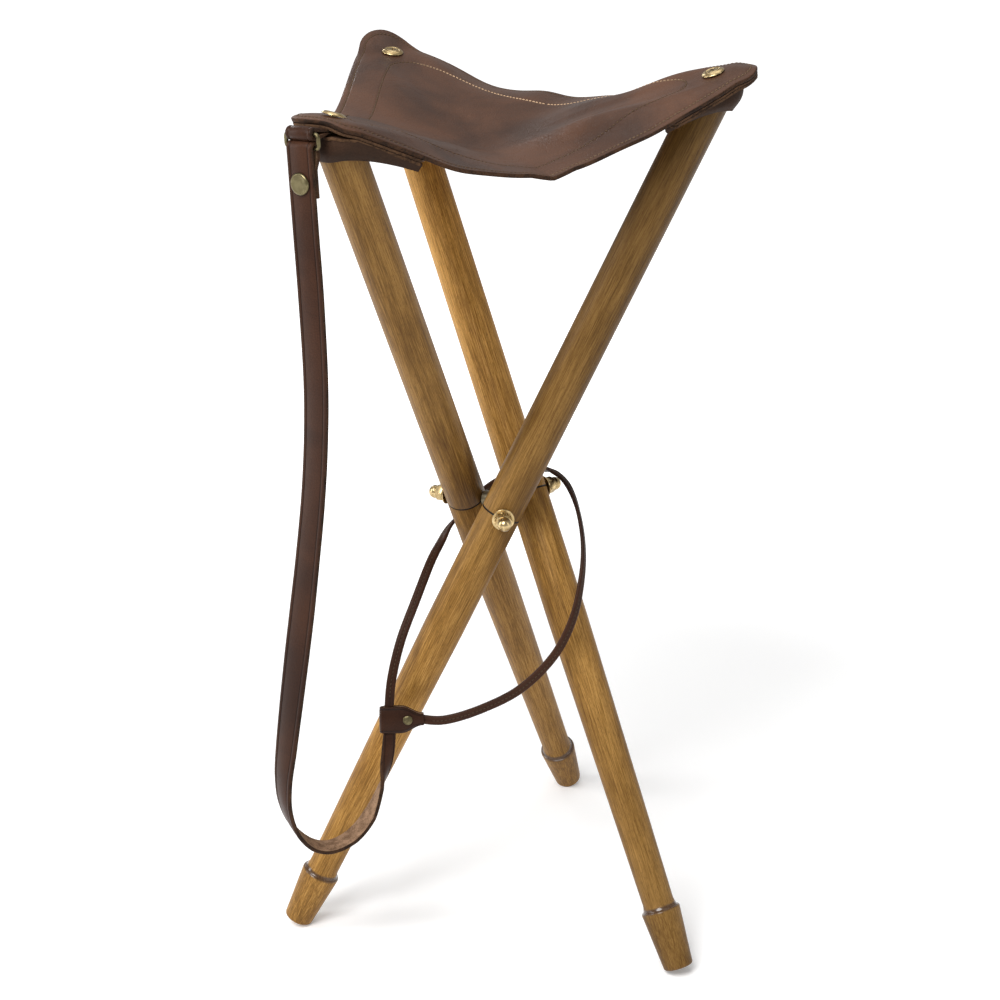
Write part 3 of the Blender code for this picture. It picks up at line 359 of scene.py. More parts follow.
ramp[1].color = (0.425, 0.232, 0.064, 1.0)
middle = ramp.new(0.5)
middle.color = (0.255, 0.129, 0.029, 1.0)
flecks = ranged(tree, pores, 0.54, 0.66)
# 'depth' is painted light and shade along the leg, with some real difference of stain between sticks.
depth = add_node(tree, "ShaderNodeAttribute", attribute_name="depth").outputs["Fac"]
colour = blend_colour(tree, 1.0, stain.outputs["Color"], depth, "MULTIPLY")
colour = blend_colour(tree, maths(tree, "MULTIPLY", flecks, 0.45), colour, (0.070, 0.030, 0.006, 1.0))
along = add_node(tree, "ShaderNodeAttribute", attribute_name="along").outputs["Fac"]
# A narrow band in the cove over the collar is darkened: painted shade, with a glossy coat over it.
from_cove = maths(tree, "ABSOLUTE", maths(tree, "ADD", along, COVE_BELOW))
in_cove = ranged(tree, from_cove, 0.0008, 0.0026, 0.85, 0.0)
colour = blend_colour(tree, in_cove, colour, (0.045, 0.018, 0.007, 1.0))
burned = ranged(tree, maths(tree, "ABSOLUTE", along), 0.00045, 0.0010, 1.0, 0.0)
colour = blend_colour(tree, burned, colour, (0.012, 0.007, 0.004, 1.0))
gloss = maths(tree, "MULTIPLY_ADD", in_cove, -0.2, maths(tree, "MULTIPLY_ADD", fibres, 0.22, 0.34))
feed(tree, shader, {"Base Color": colour, "Roughness": gloss, "Specular IOR Level": 0.16})
feed(tree, shader, {"Coat Weight": in_cove, "Coat Roughness": 0.12})
relief = maths(tree, "MULTIPLY_ADD", flecks, -0.6, fibres)
bump(tree, shader, relief, 0.35, 0.00018)
print("wood", stained_wood.name)

# %% [markdown]
# ## Metals
# The nuts, washers and screws are polished brass, the ring and the press stud are darkened brass that
# handling has rubbed unevenly, and the stud between the legs is steel with a yellowish zinc plating. One
# group gives fine polishing marks and handling smudges, and each metal takes its tones from it.

# %% Worn metal group and three metals
worn_metal, given, sent = new_group(
    "worn metal",
    [("Map", "NodeSocketVector"), ("Mark size", "NodeSocketFloat")],
    [("Smudge", "NodeSocketFloat"), ("Height", "NodeSocketFloat")],
)
mark_scale = maths(worn_metal, "DIVIDE", 1.0, given["Mark size"])
smudge = noise(worn_metal, given["Map"], maths(worn_metal, "MULTIPLY", mark_scale, 0.11), 4.0, 0.6, 0.8)
marks = noise(worn_metal, given["Map"], mark_scale, 3.0)
worn_metal.links.new(smudge, sent["Smudge"])
worn_metal.links.new(marks, sent["Height"])


def metal(name, bright, dull, smooth, rough, mark, bump_depth):
    made, tree, shader = new_material(name)
    place = add_node(tree, "ShaderNodeTexCoord").outputs["Object"]
    wear = use_group(tree, worn_metal, {"Map": place, "Mark size": mark})
    share = ranged(tree, wear["Smudge"], 0.38, 0.66)
    colour = blend_colour(tree, share, (*bright, 1.0), (*dull, 1.0))
    gloss = ranged(tree, wear["Smudge"], 0.34, 0.68, smooth, rough)
    feed(tree, shader, {"Base Color": colour, "Roughness": gloss, "Metallic": 1.0})
    bump(tree, shader, wear["Height"], 0.25, bump_depth)
    return made


brass = metal("brass", (0.53, 0.40, 0.21), (0.39, 0.28, 0.13), 0.24, 0.36, 0.0006, 0.000012)
antique_brass = metal("antique brass", (0.175, 0.148, 0.078), (0.108, 0.09, 0.046),
                      0.28, 0.44, 0.0007, 0.000015)
zinc_steel = metal("zinc steel", (0.20, 0.172, 0.115), (0.14, 0.12, 0.08), 0.34, 0.5, 0.0008, 0.00002)
print("metals", brass.name, antique_brass.name, zinc_steel.name)

# %% [markdown]
# ## Routes and strips
# A strap is a section carried along a line. The line is a smooth curve through the same points that the
# model uses, and at each step the section stands across the line with its skin side outwards. Drawing a curve
# with a bevel would be quicker, but a flat strap that twists needs its own direction at every step.

# %% Smooth lines and strips
def smooth_line(points, steps):
    """Points on a smooth curve that passes through the given ones."""
    route = np.array([list(point) for point in points], float)
    ends = np.vstack([2 * route[0] - route[1], route, 2 * route[-1] - route[-2]])
    found = []
    for a, b, c, d in zip(ends, ends[1:], ends[2:], ends[3:]):
        for step in range(steps):
            t = step / steps
            found.append(0.5 * (2 * b + (c - a) * t + (2 * a - 5 * b + 4 * c - d) * t**2
                                + (3 * b - a - 3 * c + d) * t**3))
    return [Vector(point) for point in found] + [Vector(route[-1])]


def spread(values, steps):
    """Values for each point of a smooth line, evenly between those at its own points."""
    found = []
    for first, second in zip(values, values[1:]):
        found += [first + (second - first) * (step / steps) for step in range(steps)]
    return found + [values[-1]]


def lengths(line):
    """The distance walked along a line at each of its points."""
    walked = [0.0]
    for first, second in zip(line, line[1:]):
        walked.append(walked[-1] + (second - first).length)
    return walked


def strap_section(width, thick, pressed=0.0032):
    """Points round a strap: place across, height, and how far the dye is darkened there."""
    half = width / 2
    top = thick / 2
    line = half - min(pressed, 0.3 * half)
    side = [
        (half - 0.0005, -top, 0.3),
        (half, -top + 0.0006, 0.5),
        (half, top - 0.0011, 0.5),
        (half - 0.0004, top - 0.0004, 0.35),
        (half - 0.0012, top, 0.0),
        (line + 0.0007, top, 0.0),
        (line, top - 0.00035, 0.9),
        (line - 0.0007, top, 0.0),
    ]
    other = [(-across, height, dark) for across, height, dark in reversed(side)]
    return side + [(0.0, top + 0.0001, 0.0)] + other + [(0.0, -top, 0.0)]


STRAP_FACES = [2, 2, 2] + [0] * 10 + [2, 2, 2, 1, 1]


def strip(name, line, across, widths, thick, section, kinds, from_length=0.0):
    """A closed strip along a line, with a map in metres and a darkening attribute."""
    thicks = thick if isinstance(thick, list) else [thick] * len(line)
    walked = [from_length + length for length in lengths(line)]
    points, dark, flat = [], [], []
    for i, point in enumerate(line):
        forward = (line[min(i + 1, len(line) - 1)] - line[max(i - 1, 0)]).normalized()
        side = (across[i] - across[i].dot(forward) * forward).normalized()
        out = forward.cross(side)
        for place, height, shade in section(widths[i], thicks[i]):
            points.append(point + place * side + height * out)
            dark.append(shade)
            flat.append((place, walked[i]))
    count = len(kinds)
    faces = []
    for i in range(len(line) - 1):
        for j in range(count):
            k = (j + 1) % count
            faces.append((i * count + j, i * count + k, (i + 1) * count + k, (i + 1) * count + j))
    faces.append(tuple(reversed(range(count))))
    faces.append(tuple(range((len(line) - 1) * count, len(line) * count)))
    mesh = bpy.data.meshes.new(name)
    mesh.from_pydata(points, [], faces)
    mesh.polygons.foreach_set("material_index", kinds * (len(line) - 1) + [2, 2])
    mark(mesh, "worn", dark)
    lay_flat(mesh, flat)
    return place_piece(name, mesh, (strap_leather, flesh_side, cut_edge))


def mark(mesh, name, values):
    """Gives each point of a mesh a number that its material can read."""
    mesh.attributes.new(name, "FLOAT", "POINT").data.foreach_set("value", values)


def lay_flat(mesh, flat):
    """Gives a mesh its leather map, from a place in metres for each point."""
    leather_map = mesh.uv_layers.new(name="leather_map")
    leather_map.data.foreach_set("uv", [v for loop in mesh.loops for v in flat[loop.vertex_index]])


def add_piece(name, mesh, finishes):
    """An object for a mesh, with its finishes."""
    piece = bpy.data.objects.new(name, mesh)
    bpy.context.scene.collection.objects.link(piece)
    for finish in finishes:
        mesh.materials.append(finish)
    return piece


def place_piece(name, mesh, finishes, angle=40.0):
    """An object for a mesh, with its finishes, outward faces, and smooth shading up to an angle."""
    piece = add_piece(name, mesh, finishes)
    outward(piece)
    shade(piece, angle)
    return piece


def pick(piece):
    """Makes one object the only selected and active one."""
    bpy.ops.object.select_all(action="DESELECT")
    piece.select_set(True)
    bpy.context.view_layer.objects.active = piece


def outward(piece):
    pick(piece)
    bpy.ops.object.mode_set(mode="EDIT")
    bpy.ops.mesh.select_all(action="SELECT")
    bpy.ops.mesh.normals_make_consistent(inside=False)
    bpy.ops.object.mode_set(mode="OBJECT")


def shade(piece, angle):
    pick(piece)
    bpy.ops.object.shade_smooth_by_angle(angle=math.radians(angle))


print("strap section has", len(STRAP_FACES), "sides")

# %% [markdown]
# ## Carry strap
# A 20 mm strap hangs from the ring, makes a U with its suede side inwards, narrows and runs up into the
# keeper. It is made as two lengths that share one cut, an upper one from the ring and a lower one on to the
# keeper.

# %% Carry strap
STRAP_WIDTH = 0.0205
STRAP_THICK = 0.003
STRAP_END = 0.0483
NECK_WIDTH = 0.009
UPPER_LENGTH = 0.27
RING_HEIGHT = 0.009
RING_WIRE = 0.0014
RING_LOW = RING_TOP - RING_HEIGHT * UP
STRAP_TURN = RING_WIRE + GAP + STRAP_THICK / 2
FRONT = RING_LOW + STRAP_TURN * RADIAL
CARRY_START = FRONT - STRAP_END * UP
KEEPER_CENTRE = STUD + Vector((-0.0925, -0.0655, -0.1435))
KEEPER_UP = Vector((0.05, 0.25, 0.967)).normalized()
KEEPER_OUT = Vector((1.0, 0.0, 0.0))
KEEPER_OUT = (KEEPER_OUT - KEEPER_OUT.dot(KEEPER_UP) * KEEPER_UP).normalized()
KEEPER_FACE = KEEPER_OUT.cross(KEEPER_UP)
CARRY_ROUTE = [
    ((-0.1250, -0.1520, 0.204), (0.77, -0.63, 0.0), 0.0205),
    ((-0.1260, -0.1510, 0.149), (0.74, -0.67, 0.0), 0.0205),
    ((-0.1290, -0.1470, 0.106), (0.72, -0.69, 0.0), 0.0205),
    ((-0.1340, -0.1420, 0.063), (0.72, -0.69, 0.0), 0.0205),
    ((-0.1410, -0.1380, 0.018), (0.74, -0.67, 0.0), 0.0205),
    ((-0.1475, -0.1350, -0.020), (0.78, -0.62, 0.0), 0.0205),
    ((-0.1540, -0.1320, -0.056), (0.78, -0.62, 0.0), 0.0205),
    ((-0.1605, -0.1300, -0.092), (0.74, -0.67, 0.0), 0.0205),
    ((-0.1670, -0.1280, -0.129), (0.66, -0.75, 0.0), 0.0205),
    ((-0.1710, -0.1260, -0.154), (0.54, -0.84, 0.0), 0.0205),
    ((-0.1715, -0.1230, -0.177), (0.42, -0.91, 0.0), 0.0205),
    ((-0.1665, -0.1180, -0.199), (0.30, -0.95, 0.0), 0.0205),
    ((-0.1560, -0.1120, -0.216), (0.22, -0.97, 0.05), 0.0205),
    ((-0.1420, -0.1050, -0.224), (0.26, -0.96, 0.10), 0.0205),
    ((-0.1260, -0.0980, -0.221), (0.36, -0.92, 0.12), 0.0205),
    ((-0.1120, -0.0900, -0.209), (0.38, -0.90, 0.14), 0.0190),
    ((-0.1020, -0.0820, -0.190), (0.05, -0.98, 0.14), 0.0150),
    ((-0.0960, -0.0740, -0.171), (-0.80, -0.60, 0.08), 0.0110),
]
carry_places = [CARRY_START, CARRY_START - STRAP_WIDTH / 2 * UP]
carry_places += [STUD + Vector(place) for place, across, width in CARRY_ROUTE]
carry_places += [KEEPER_CENTRE - 0.0103 * KEEPER_UP, KEEPER_CENTRE - GAP / 2 * KEEPER_UP]
carry_across = [BAR, BAR] + [Vector(across) for place, across, width in CARRY_ROUTE]
carry_across += [-KEEPER_OUT, -KEEPER_OUT]
carry_widths = [STRAP_WIDTH, STRAP_WIDTH] + [width for place, across, width in CARRY_ROUTE]
carry_widths += [NECK_WIDTH, NECK_WIDTH]
carry_line = smooth_line(carry_places, 10)
carry_across = spread(carry_across, 10)
carry_widths = spread(carry_widths, 10)
walked = lengths(carry_line)
cut = next(i for i, length in enumerate(walked) if length > UPPER_LENGTH)
above = slice(0, cut + 1)
below = slice(cut, None)
strap_upper = strip("carry_strap_upper", carry_line[above], carry_across[above], carry_widths[above],
                    STRAP_THICK, strap_section, STRAP_FACES)
strap_lower = strip("carry_strap_lower", carry_line[below], carry_across[below], carry_widths[below],
                    STRAP_THICK, strap_section, STRAP_FACES, walked[cut])
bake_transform(strap_upper)
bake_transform(strap_lower)
print("carry strap", round(walked[-1], 3), "m, cut at", round(walked[cut], 3))

# %% [markdown]
# ## Noose
# The narrow end of the strap is a folded, stitched loop that ties the closed legs. It leaves the keeper
# upwards, passes behind the legs and comes back to the keeper's tongue. Its section is a flat oval with a
# shallow channel for the stitches.

# %% Noose
NOOSE_WIDTH = 0.007
NOOSE_THICK = 0.0032
NOOSE_SIDES = 24
NOOSE_ROUTE = [
    ((-0.0885, -0.0575, -0.113), (-1.0, 0.0, 0.0)),
    ((-0.0800, -0.0460, -0.0885), (-0.98, 0.05, 0.1)),
    ((-0.0670, -0.0290, -0.0650), (-0.95, 0.1, 0.2)),
    ((-0.0535, -0.0070, -0.0440), (-0.92, 0.15, 0.2)),
    ((-0.0440, 0.0130, -0.0360), (-0.88, 0.3, -0.1)),
    ((-0.0355, 0.0340, -0.0315), (-0.70, 0.3, -0.6)),
    ((-0.0215, 0.0500, -0.0250), (-0.30, 0.2, -0.9)),
    ((-0.0065, 0.0575, -0.0140), (0.0, 0.0, -1.0)),
    ((0.0085, 0.0575, -0.0050), (0.0, 0.0, -1.0)),
    ((0.0235, 0.0525, 0.0020), (0.0, 0.2, -1.0)),
    ((0.0370, 0.0410, 0.0075), (0.4, 0.3, -0.8)),
    ((0.0460, 0.0265, 0.0090), (0.9, 0.4, -0.3)),
    ((0.0540, 0.0100, 0.0040), (0.8, 0.3, -0.6)),
    ((0.0590, -0.0080, -0.0100), (0.3, 0.1, -0.9)),
    ((0.0600, -0.0280, -0.0300), (0.2, 0.0, -1.0)),
    ((0.0560, -0.0450, -0.0510), (0.2, 0.0, -1.0)),
    ((0.0470, -0.0580, -0.0770), (0.2, 0.0, -1.0)),
    ((0.0310, -0.0660, -0.1020), (0.2, 0.0, -1.0)),
    ((0.0050, -0.0710, -0.1240), (0.2, 0.0, -1.0)),
    ((-0.0250, -0.0710, -0.1380), (0.1, 0.0, -1.0)),
    ((-0.0520, -0.0690, -0.1455), (0.0, -0.1, -1.0)),
]


def noose_section(width, thick):
    """A flat oval, with a channel for the stitches along both faces."""
    found = []
    for step in range(NOOSE_SIDES):
        angle = 2 * math.pi * step / NOOSE_SIDES
        across = math.copysign(abs(math.cos(angle)) ** 0.8, math.cos(angle)) * width / 2
        height = math.copysign(abs(math.sin(angle)) ** 0.7, math.sin(angle)) * thick / 2
        channel = max(0.0, 1.0 - abs(across) / 0.0009)
        found.append((across, height * (1.0 - 0.22 * channel), 0.35 * channel))
    return found


noose_places = [KEEPER_CENTRE + 0.00015 * KEEPER_UP, KEEPER_CENTRE + 0.0103 * KEEPER_UP]
noose_places += [STUD + Vector(place) for place, across in NOOSE_ROUTE]
noose_places += [KEEPER_CENTRE + 0.0206 * KEEPER_OUT, KEEPER_CENTRE + 0.0051 * KEEPER_OUT]
noose_across = [-KEEPER_OUT, -KEEPER_OUT] + [Vector(across) for place, across in NOOSE_ROUTE]
noose_across += [-KEEPER_UP, -KEEPER_UP]
noose_line = smooth_line(noose_places, 9)
noose_across = spread(noose_across, 9)
noose = strip("noose_loop", noose_line, noose_across, [NOOSE_WIDTH] * len(noose_line),
              NOOSE_THICK, noose_section, [0] * NOOSE_SIDES)
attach(noose, "hub")
print("noose", round(lengths(noose_line)[-1], 3), "m")

# %% [markdown]
# ## One stitch
# A stitch is a short length of thread that dives into the leather at both ends. It is modelled once, as a
# six-sided bar whose ends are drawn in, and copied along every seam. A seam has hundreds of stitches, so
# each has only about twenty faces, and those of one seam are joined into one piece.

# %% One stitch, and a seam of them
bpy.ops.object.select_all(action="DESELECT")
bpy.ops.mesh.primitive_cylinder_add(vertices=6, radius=0.0005, depth=0.0013)
stitch = bpy.context.object
bpy.ops.object.mode_set(mode="EDIT")
for end in (1, -1):
    bpy.ops.mesh.select_all(action="DESELECT")
    bpy.ops.object.mode_set(mode="OBJECT")
    for face in stitch.data.polygons:
        face.select = face.normal.z * end > 0.9
    bpy.ops.object.mode_set(mode="EDIT")
    bpy.ops.mesh.extrude_region_move(TRANSFORM_OT_translate={"value": (-0.0003, 0.0, 0.0005 * end)})
    bpy.ops.transform.resize(value=(0.5, 0.5, 1.0))
bpy.ops.object.mode_set(mode="OBJECT")
STITCH_POINTS = [vertex.co.copy() for vertex in stitch.data.vertices]
STITCH_FACES = [tuple(face.vertices) for face in stitch.data.polygons]
bpy.data.objects.remove(stitch)


def seam(name, stitches):
    """Stitches as one piece, each from a centre, a direction, the way out of the leather, and a tone."""
    points, faces, tones = [], [], []
    for centre, forward, out, tone in stitches:
        first = len(points)
        side = out.cross(forward).normalized()
        points += [centre + p.x * out + p.y * side + p.z * forward for p in STITCH_POINTS]
        faces += [tuple(first + v for v in face) for face in STITCH_FACES]
        tones += [tone] * len(STITCH_POINTS)
    mesh = bpy.data.meshes.new(name)
    mesh.from_pydata(points, [], faces)
    mesh.attributes.new("pale", "FLOAT", "POINT").data.foreach_set("value", tones)
    return place_piece(name, mesh, (thread,), 60.0)


def along_line(line, pitch):
    """Even places on a line, with the direction there and the nearest point's number."""
    walked = lengths(line)
    found = []
    i = 0
    for step in range(int(walked[-1] / pitch)):
        reach = (step + 0.5) * pitch
        while walked[i + 1] < reach:
            i += 1
        share = (reach - walked[i]) / (walked[i + 1] - walked[i])
        found.append((line[i].lerp(line[i + 1], share), (line[i + 1] - line[i]).normalized(), i))
    return found


NOOSE_PITCH = 0.0030
SEWN_FROM = 12
SEWN_TO = -14
noose_stitches = []
for centre, forward, i in along_line(noose_line[SEWN_FROM:SEWN_TO], NOOSE_PITCH):
    across = noose_across[i + SEWN_FROM]
    side = (across - across.dot(forward) * forward).normalized()
    out = forward.cross(side)
    for face in (1, -1):
        noose_stitches.append((centre + 0.00125 * face * out, forward, face * out, 0.08))
noose_seam = seam("noose_stitches", noose_stitches)
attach(noose_seam, "hub")
print("noose stitches", len(noose_stitches))

# %% [markdown]
# ## Turned pieces
# Legs, washers, studs and rivets are all turned on a lathe. In Blender that can be a spin or a screw
# modifier. Here a disc or a hoop is drawn out step by step with extrude and resize, which is how the lathe is
# read: one radius and one height at a time.

# %% Lathe helpers
def drawn_out(name, profile, sides, fill):
    """A disc or a hoop drawn out through a profile of radii and heights, left in edit mode."""
    bpy.ops.object.select_all(action="DESELECT")
    radius, height = profile[0]
    bpy.ops.mesh.primitive_circle_add(vertices=sides, radius=radius, fill_type=fill, location=(0, 0, height))
    piece = bpy.context.object
    piece.name = name
    bpy.ops.object.transform_apply(location=True, rotation=False, scale=False)
    bpy.ops.object.mode_set(mode="EDIT")
    bpy.ops.mesh.select_all(action="SELECT")
    for (old, low), (new, high) in zip(profile, profile[1:]):
        bpy.ops.mesh.extrude_region_move(TRANSFORM_OT_translate={"value": (0.0, 0.0, high - low)})
        bpy.ops.transform.resize(value=(new / old, new / old, 1.0), center_override=(0.0, 0.0, high))
    return piece


def turned(name, profile, sides, closed_end=True):
    """A solid turned piece from its first radius and height to its last."""
    piece = drawn_out(name, profile, sides, "NGON")
    if closed_end:
        bpy.ops.mesh.merge(type="CENTER")
    bpy.ops.object.mode_set(mode="OBJECT")
    outward(piece)
    return piece


def ringed(name, profile, sides):
    """A turned ring: its profile closes on itself round an open middle."""
    piece = drawn_out(name, profile, sides, "NOTHING")
    bpy.ops.mesh.select_all(action="DESELECT")
    bpy.ops.mesh.select_non_manifold()
    bpy.ops.mesh.bridge_edge_loops()
    bpy.ops.object.mode_set(mode="OBJECT")
    outward(piece)
    return piece


def dome(radius, level):
    """The profile of a half ball over a level, up to just short of its top."""
    turns = [math.radians(11.0 * step) for step in range(1, 9)]
    return [(radius * math.cos(turn), level + radius * math.sin(turn)) for turn in turns]


def move(piece, place):
    """Moves a piece to its place and applies that to its mesh."""
    piece.matrix_world = place
    pick(piece)
    bpy.ops.object.transform_apply(location=True, rotation=True, scale=True)


def settle(piece, place, finish, angle=35.0):
    """Moves a piece to its place and gives it its finish."""
    move(piece, place)
    piece.data.materials.clear()
    piece.data.materials.append(finish)
    shade(piece, angle)
    return piece


def copied(piece, name):
    made = piece.copy()
    made.data = piece.data.copy()
    made.name = name
    bpy.context.scene.collection.objects.link(made)
    return made


def stand_for(piece, body, slot, *nodes):
    """The piece moves with a body and hides the solids it stands for. The slot is not used."""
    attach(piece, body)
    if nodes:
        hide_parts(*nodes)


def eased(piece, width, segments=2, angle=30.0):
    """Rounds the sharp edges of a piece by a small bevel."""
    pick(piece)
    soft = piece.modifiers.new("soft edges", "BEVEL")
    soft.width = width
    soft.segments = segments
    soft.limit_method = "ANGLE"
    soft.angle_limit = math.radians(angle)
    bpy.ops.object.modifier_apply(modifier=soft.name)


def carved(piece, tool, operation="DIFFERENCE"):
    """Cuts, joins or trims a piece by another, which is then removed."""
    pick(piece)
    step = piece.modifiers.new("carve", "BOOLEAN")
    step.operation = operation
    step.object = tool
    step.solver = "EXACT"
    bpy.ops.object.modifier_apply(modifier=step.name)
    bpy.data.objects.remove(tool)


print("lathe helpers ready")

# %% [markdown]
# ## Legs
# A leg is a 30 mm stick with a domed top. Below the stud it tapers to an ankle, where a cove meets a collar,
# and the foot tapers again to a rounded end. The scribed line at the stud is a real groove. One leg is turned
# and copied, and each copy shifts its grain so that no two sticks look alike.

# %% Legs
FOOT_RADIUS = 0.0092
FOOT_ROUND = 0.002
COLLAR = 0.0148
COLLAR_LEVEL = -LEG_BELOW + 0.0455
COLLAR_STEPS = [(-0.0001, -0.0026), (0.0, -0.0014), (-0.0002, -0.0007), (-0.0006, -0.0002), (-0.0012, 0.0),
                (-0.0016, 0.0004), (-0.0020, 0.0013)]
ANKLE = 0.0118
ANKLE_STEPS = [(0.0005, 0.0026), (0.0001, 0.0042), (0.0, 0.0060)]
ANKLE_LEVEL = COLLAR_LEVEL + 0.006
TAPER_END = -0.1
DOME_LEVEL = LEG_ABOVE - LEG_RADIUS
leg_profile = [(0.0004, -LEG_BELOW), (FOOT_RADIUS, -LEG_BELOW)]
for step in range(1, 7):
    turn = math.radians(90.0 - 15.0 * step)
    radius = FOOT_RADIUS + FOOT_ROUND * math.cos(turn)
    leg_profile.append((radius, -LEG_BELOW + FOOT_ROUND - FOOT_ROUND * math.sin(turn)))
leg_profile.append((0.0130, -LEG_BELOW + 0.0230))
leg_profile += [(COLLAR + out, COLLAR_LEVEL + up) for out, up in COLLAR_STEPS]
leg_profile += [(ANKLE + out, COLLAR_LEVEL + up) for out, up in ANKLE_STEPS]
for share in (0.25, 0.5, 0.75, 1.0):
    radius = ANKLE + (LEG_RADIUS - ANKLE) * share
    leg_profile.append((radius, ANKLE_LEVEL + (TAPER_END - ANKLE_LEVEL) * share))
leg_profile += [(LEG_RADIUS, -0.0010), (0.01485, -0.0006), (0.0144, 0.0), (0.01485, 0.0006)]
leg_profile += [(LEG_RADIUS, level) for level in (0.0010, 0.07, 0.14, 0.21, 0.27, DOME_LEVEL)]
leg_profile += dome(LEG_RADIUS, DOME_LEVEL)
stick_piece = turned("stick", leg_profile, 64)
# Painted light and shade along each leg, by height, with some real difference of stain between sticks.
STAIN_AND_LIGHT_PLACES = [-LEG_BELOW, -0.2, 0.0, 0.2, LEG_ABOVE]
STAIN_AND_PAINTED_LIGHT = {
    "right": [1.15, 1.7, 0.8, 0.5, 0.4],
    "back": [0.6, 0.9, 1.3, 1.9, 1.8],
    "left": [1.1, 1.1, 0.9, 0.95, 0.9],
}
for number, leg in enumerate(ARMS):
    piece = copied(stick_piece, f"wooden_leg_{leg}")
    places = np.array([vertex.co for vertex in piece.data.vertices])
    shifted = places + np.array([0.31 * number, 0.17 * number, 1.7 * number])
    piece.data.attributes.new("stick", "FLOAT_VECTOR", "POINT").data.foreach_set("vector", shifted.ravel())
    mark(piece.data, "along", places[:, 2].copy())
    mark(piece.data, "depth", np.interp(places[:, 2], STAIN_AND_LIGHT_PLACES, STAIN_AND_PAINTED_LIGHT[leg]))
    settle(piece, LEG_PLACES[leg], stained_wood, 32.0)
    stand_for(piece, f"leg_{leg}", "stained_wood", f"leg_{leg}")
bpy.data.objects.remove(stick_piece)
print("legs", len(ARMS), "with", len(piece.data.polygons), "faces each")

# %% [markdown]
# ## Stud
# Three steel arms meet in a round core, so that the legs cross without touching. It is made as it could be
# welded: a turned core, and three turned arms with collars joined to it.

# %% Stud
ARM_PROFILE = [(0.006, 0.001), (0.006, 0.0112), (0.0055, 0.0117), (0.0032, 0.0117), (0.0032, 0.0515)]
stud_piece = turned("leg_stud", [(0.0004, -0.0065), (0.0069, -0.0065), (0.0075, -0.0059), (0.0075, 0.0059),
                                 (0.0069, 0.0065), (0.0004, 0.0065)], 48)
move(stud_piece, Matrix.Translation(STUD))
for azimuth in ARMS.values():
    arm = turned("arm", ARM_PROFILE, 32)
    move(arm, stand(STUD, UP, unit(azimuth)))
    carved(stud_piece, arm, "UNION")
settle(stud_piece, Matrix.Identity(4), zinc_steel, 30.0)
stand_for(stud_piece, "hub", "zinc_steel", "hub_stud")
print("stud", len(stud_piece.data.polygons), "faces")

# %% [markdown]
# ## Washers and cap nuts
# Outside each leg sit a plain washer, a toothed lock washer and a domed cap nut. A cap nut is cut from
# hexagon bar: the bar is trimmed by a turned cone, which leaves the curved chamfers on its corners, and the
# turned dome is joined on top.

# %% Washers and cap nuts
WASHER_THICK = 0.001
LOCK_THICK = 0.0009
NUT_ACROSS = 0.0111
NUT_HEIGHT = 0.0055
DOME_RADIUS = 0.0051
DOME_FROM = 0.0077
WASHER_FROM = ARM_REACH + LEG_RADIUS + GAP
LOCK_FROM = WASHER_FROM + WASHER_THICK + GAP
NUT_FROM = LOCK_FROM + LOCK_THICK + GAP
washer = ringed("washer", [(0.0080, 0.0), (0.0082, 0.0002), (0.0082, 0.0008), (0.0080, 0.0010),
                           (0.0037, 0.0010), (0.0035, 0.0008), (0.0035, 0.0002), (0.0037, 0.0)], 48)

bpy.ops.object.select_all(action="DESELECT")
bpy.ops.mesh.primitive_circle_add(vertices=48, radius=0.0064, fill_type="NOTHING")
toothed = bpy.context.object
for vertex in toothed.data.vertices:
    vertex.select = vertex.index % 4 in (2, 3)
for edge in toothed.data.edges:
    edge.select = all(toothed.data.vertices[v].select for v in edge.vertices)
bpy.ops.object.mode_set(mode="EDIT")
bpy.ops.transform.resize(value=(0.83, 0.83, 1.0), center_override=(0.0, 0.0, 0.0))
bpy.ops.mesh.select_all(action="SELECT")
bpy.ops.mesh.extrude_region_move(TRANSFORM_OT_translate={"value": (0.0, 0.0, 0.0)})
bpy.ops.transform.resize(value=(0.66, 0.66, 1.0), center_override=(0.0, 0.0, 0.0))
bpy.ops.object.mode_set(mode="OBJECT")
plate = toothed.modifiers.new("plate", "SOLIDIFY")
plate.thickness = LOCK_THICK
plate.offset = 0.0
bpy.ops.object.modifier_apply(modifier=plate.name)
outward(toothed)
eased(toothed, 0.00012, 1)

bpy.ops.object.select_all(action="DESELECT")
bpy.ops.mesh.primitive_cylinder_add(vertices=6, radius=NUT_ACROSS / math.sqrt(3), depth=NUT_HEIGHT,
                                    location=(0, 0, NUT_HEIGHT / 2))
nut = bpy.context.object
bpy.ops.object.transform_apply(location=True, rotation=True, scale=True)
cone = turned("cone", [(0.0056, -0.0001), (0.0066, 0.0005), (0.0066, 0.0044), (0.0056, 0.0056)], 64, False)
carved(nut, cone, "INTERSECT")
dome_profile = [(DOME_RADIUS, 0.004), (DOME_RADIUS, 0.0062), (0.0049, 0.0066), (0.0049, 0.0071)]
dome_profile += [(DOME_RADIUS, DOME_FROM)] + dome(DOME_RADIUS, DOME_FROM)
carved(nut, turned("dome", dome_profile, 48), "UNION")
eased(nut, 0.00018, 2, 25.0)

FASTENINGS = [
    (washer, "washer", "flat_washer", WASHER_FROM, 0),
    (toothed, "toothed_washer", "lock_washer", LOCK_FROM + LOCK_THICK / 2, 7),
    (nut, "domed_nut", "cap_nut", NUT_FROM, 12),
]
for leg, azimuth in ARMS.items():
    for piece, name, node, reach, turn in FASTENINGS:
        made = copied(piece, f"{name}_{leg}")
        slid = stand(STUD, UP, unit(azimuth)) @ Matrix.Translation((0.0, 0.0, reach))
        settle(made, slid @ Matrix.Rotation(math.radians(turn), 4, "Z"), brass, 30.0)
        stand_for(made, "hub", "brass", f"{node}_{leg}")
for piece in (washer, toothed, nut):
    bpy.data.objects.remove(piece)
print("washers and nuts", 3 * len(ARMS))

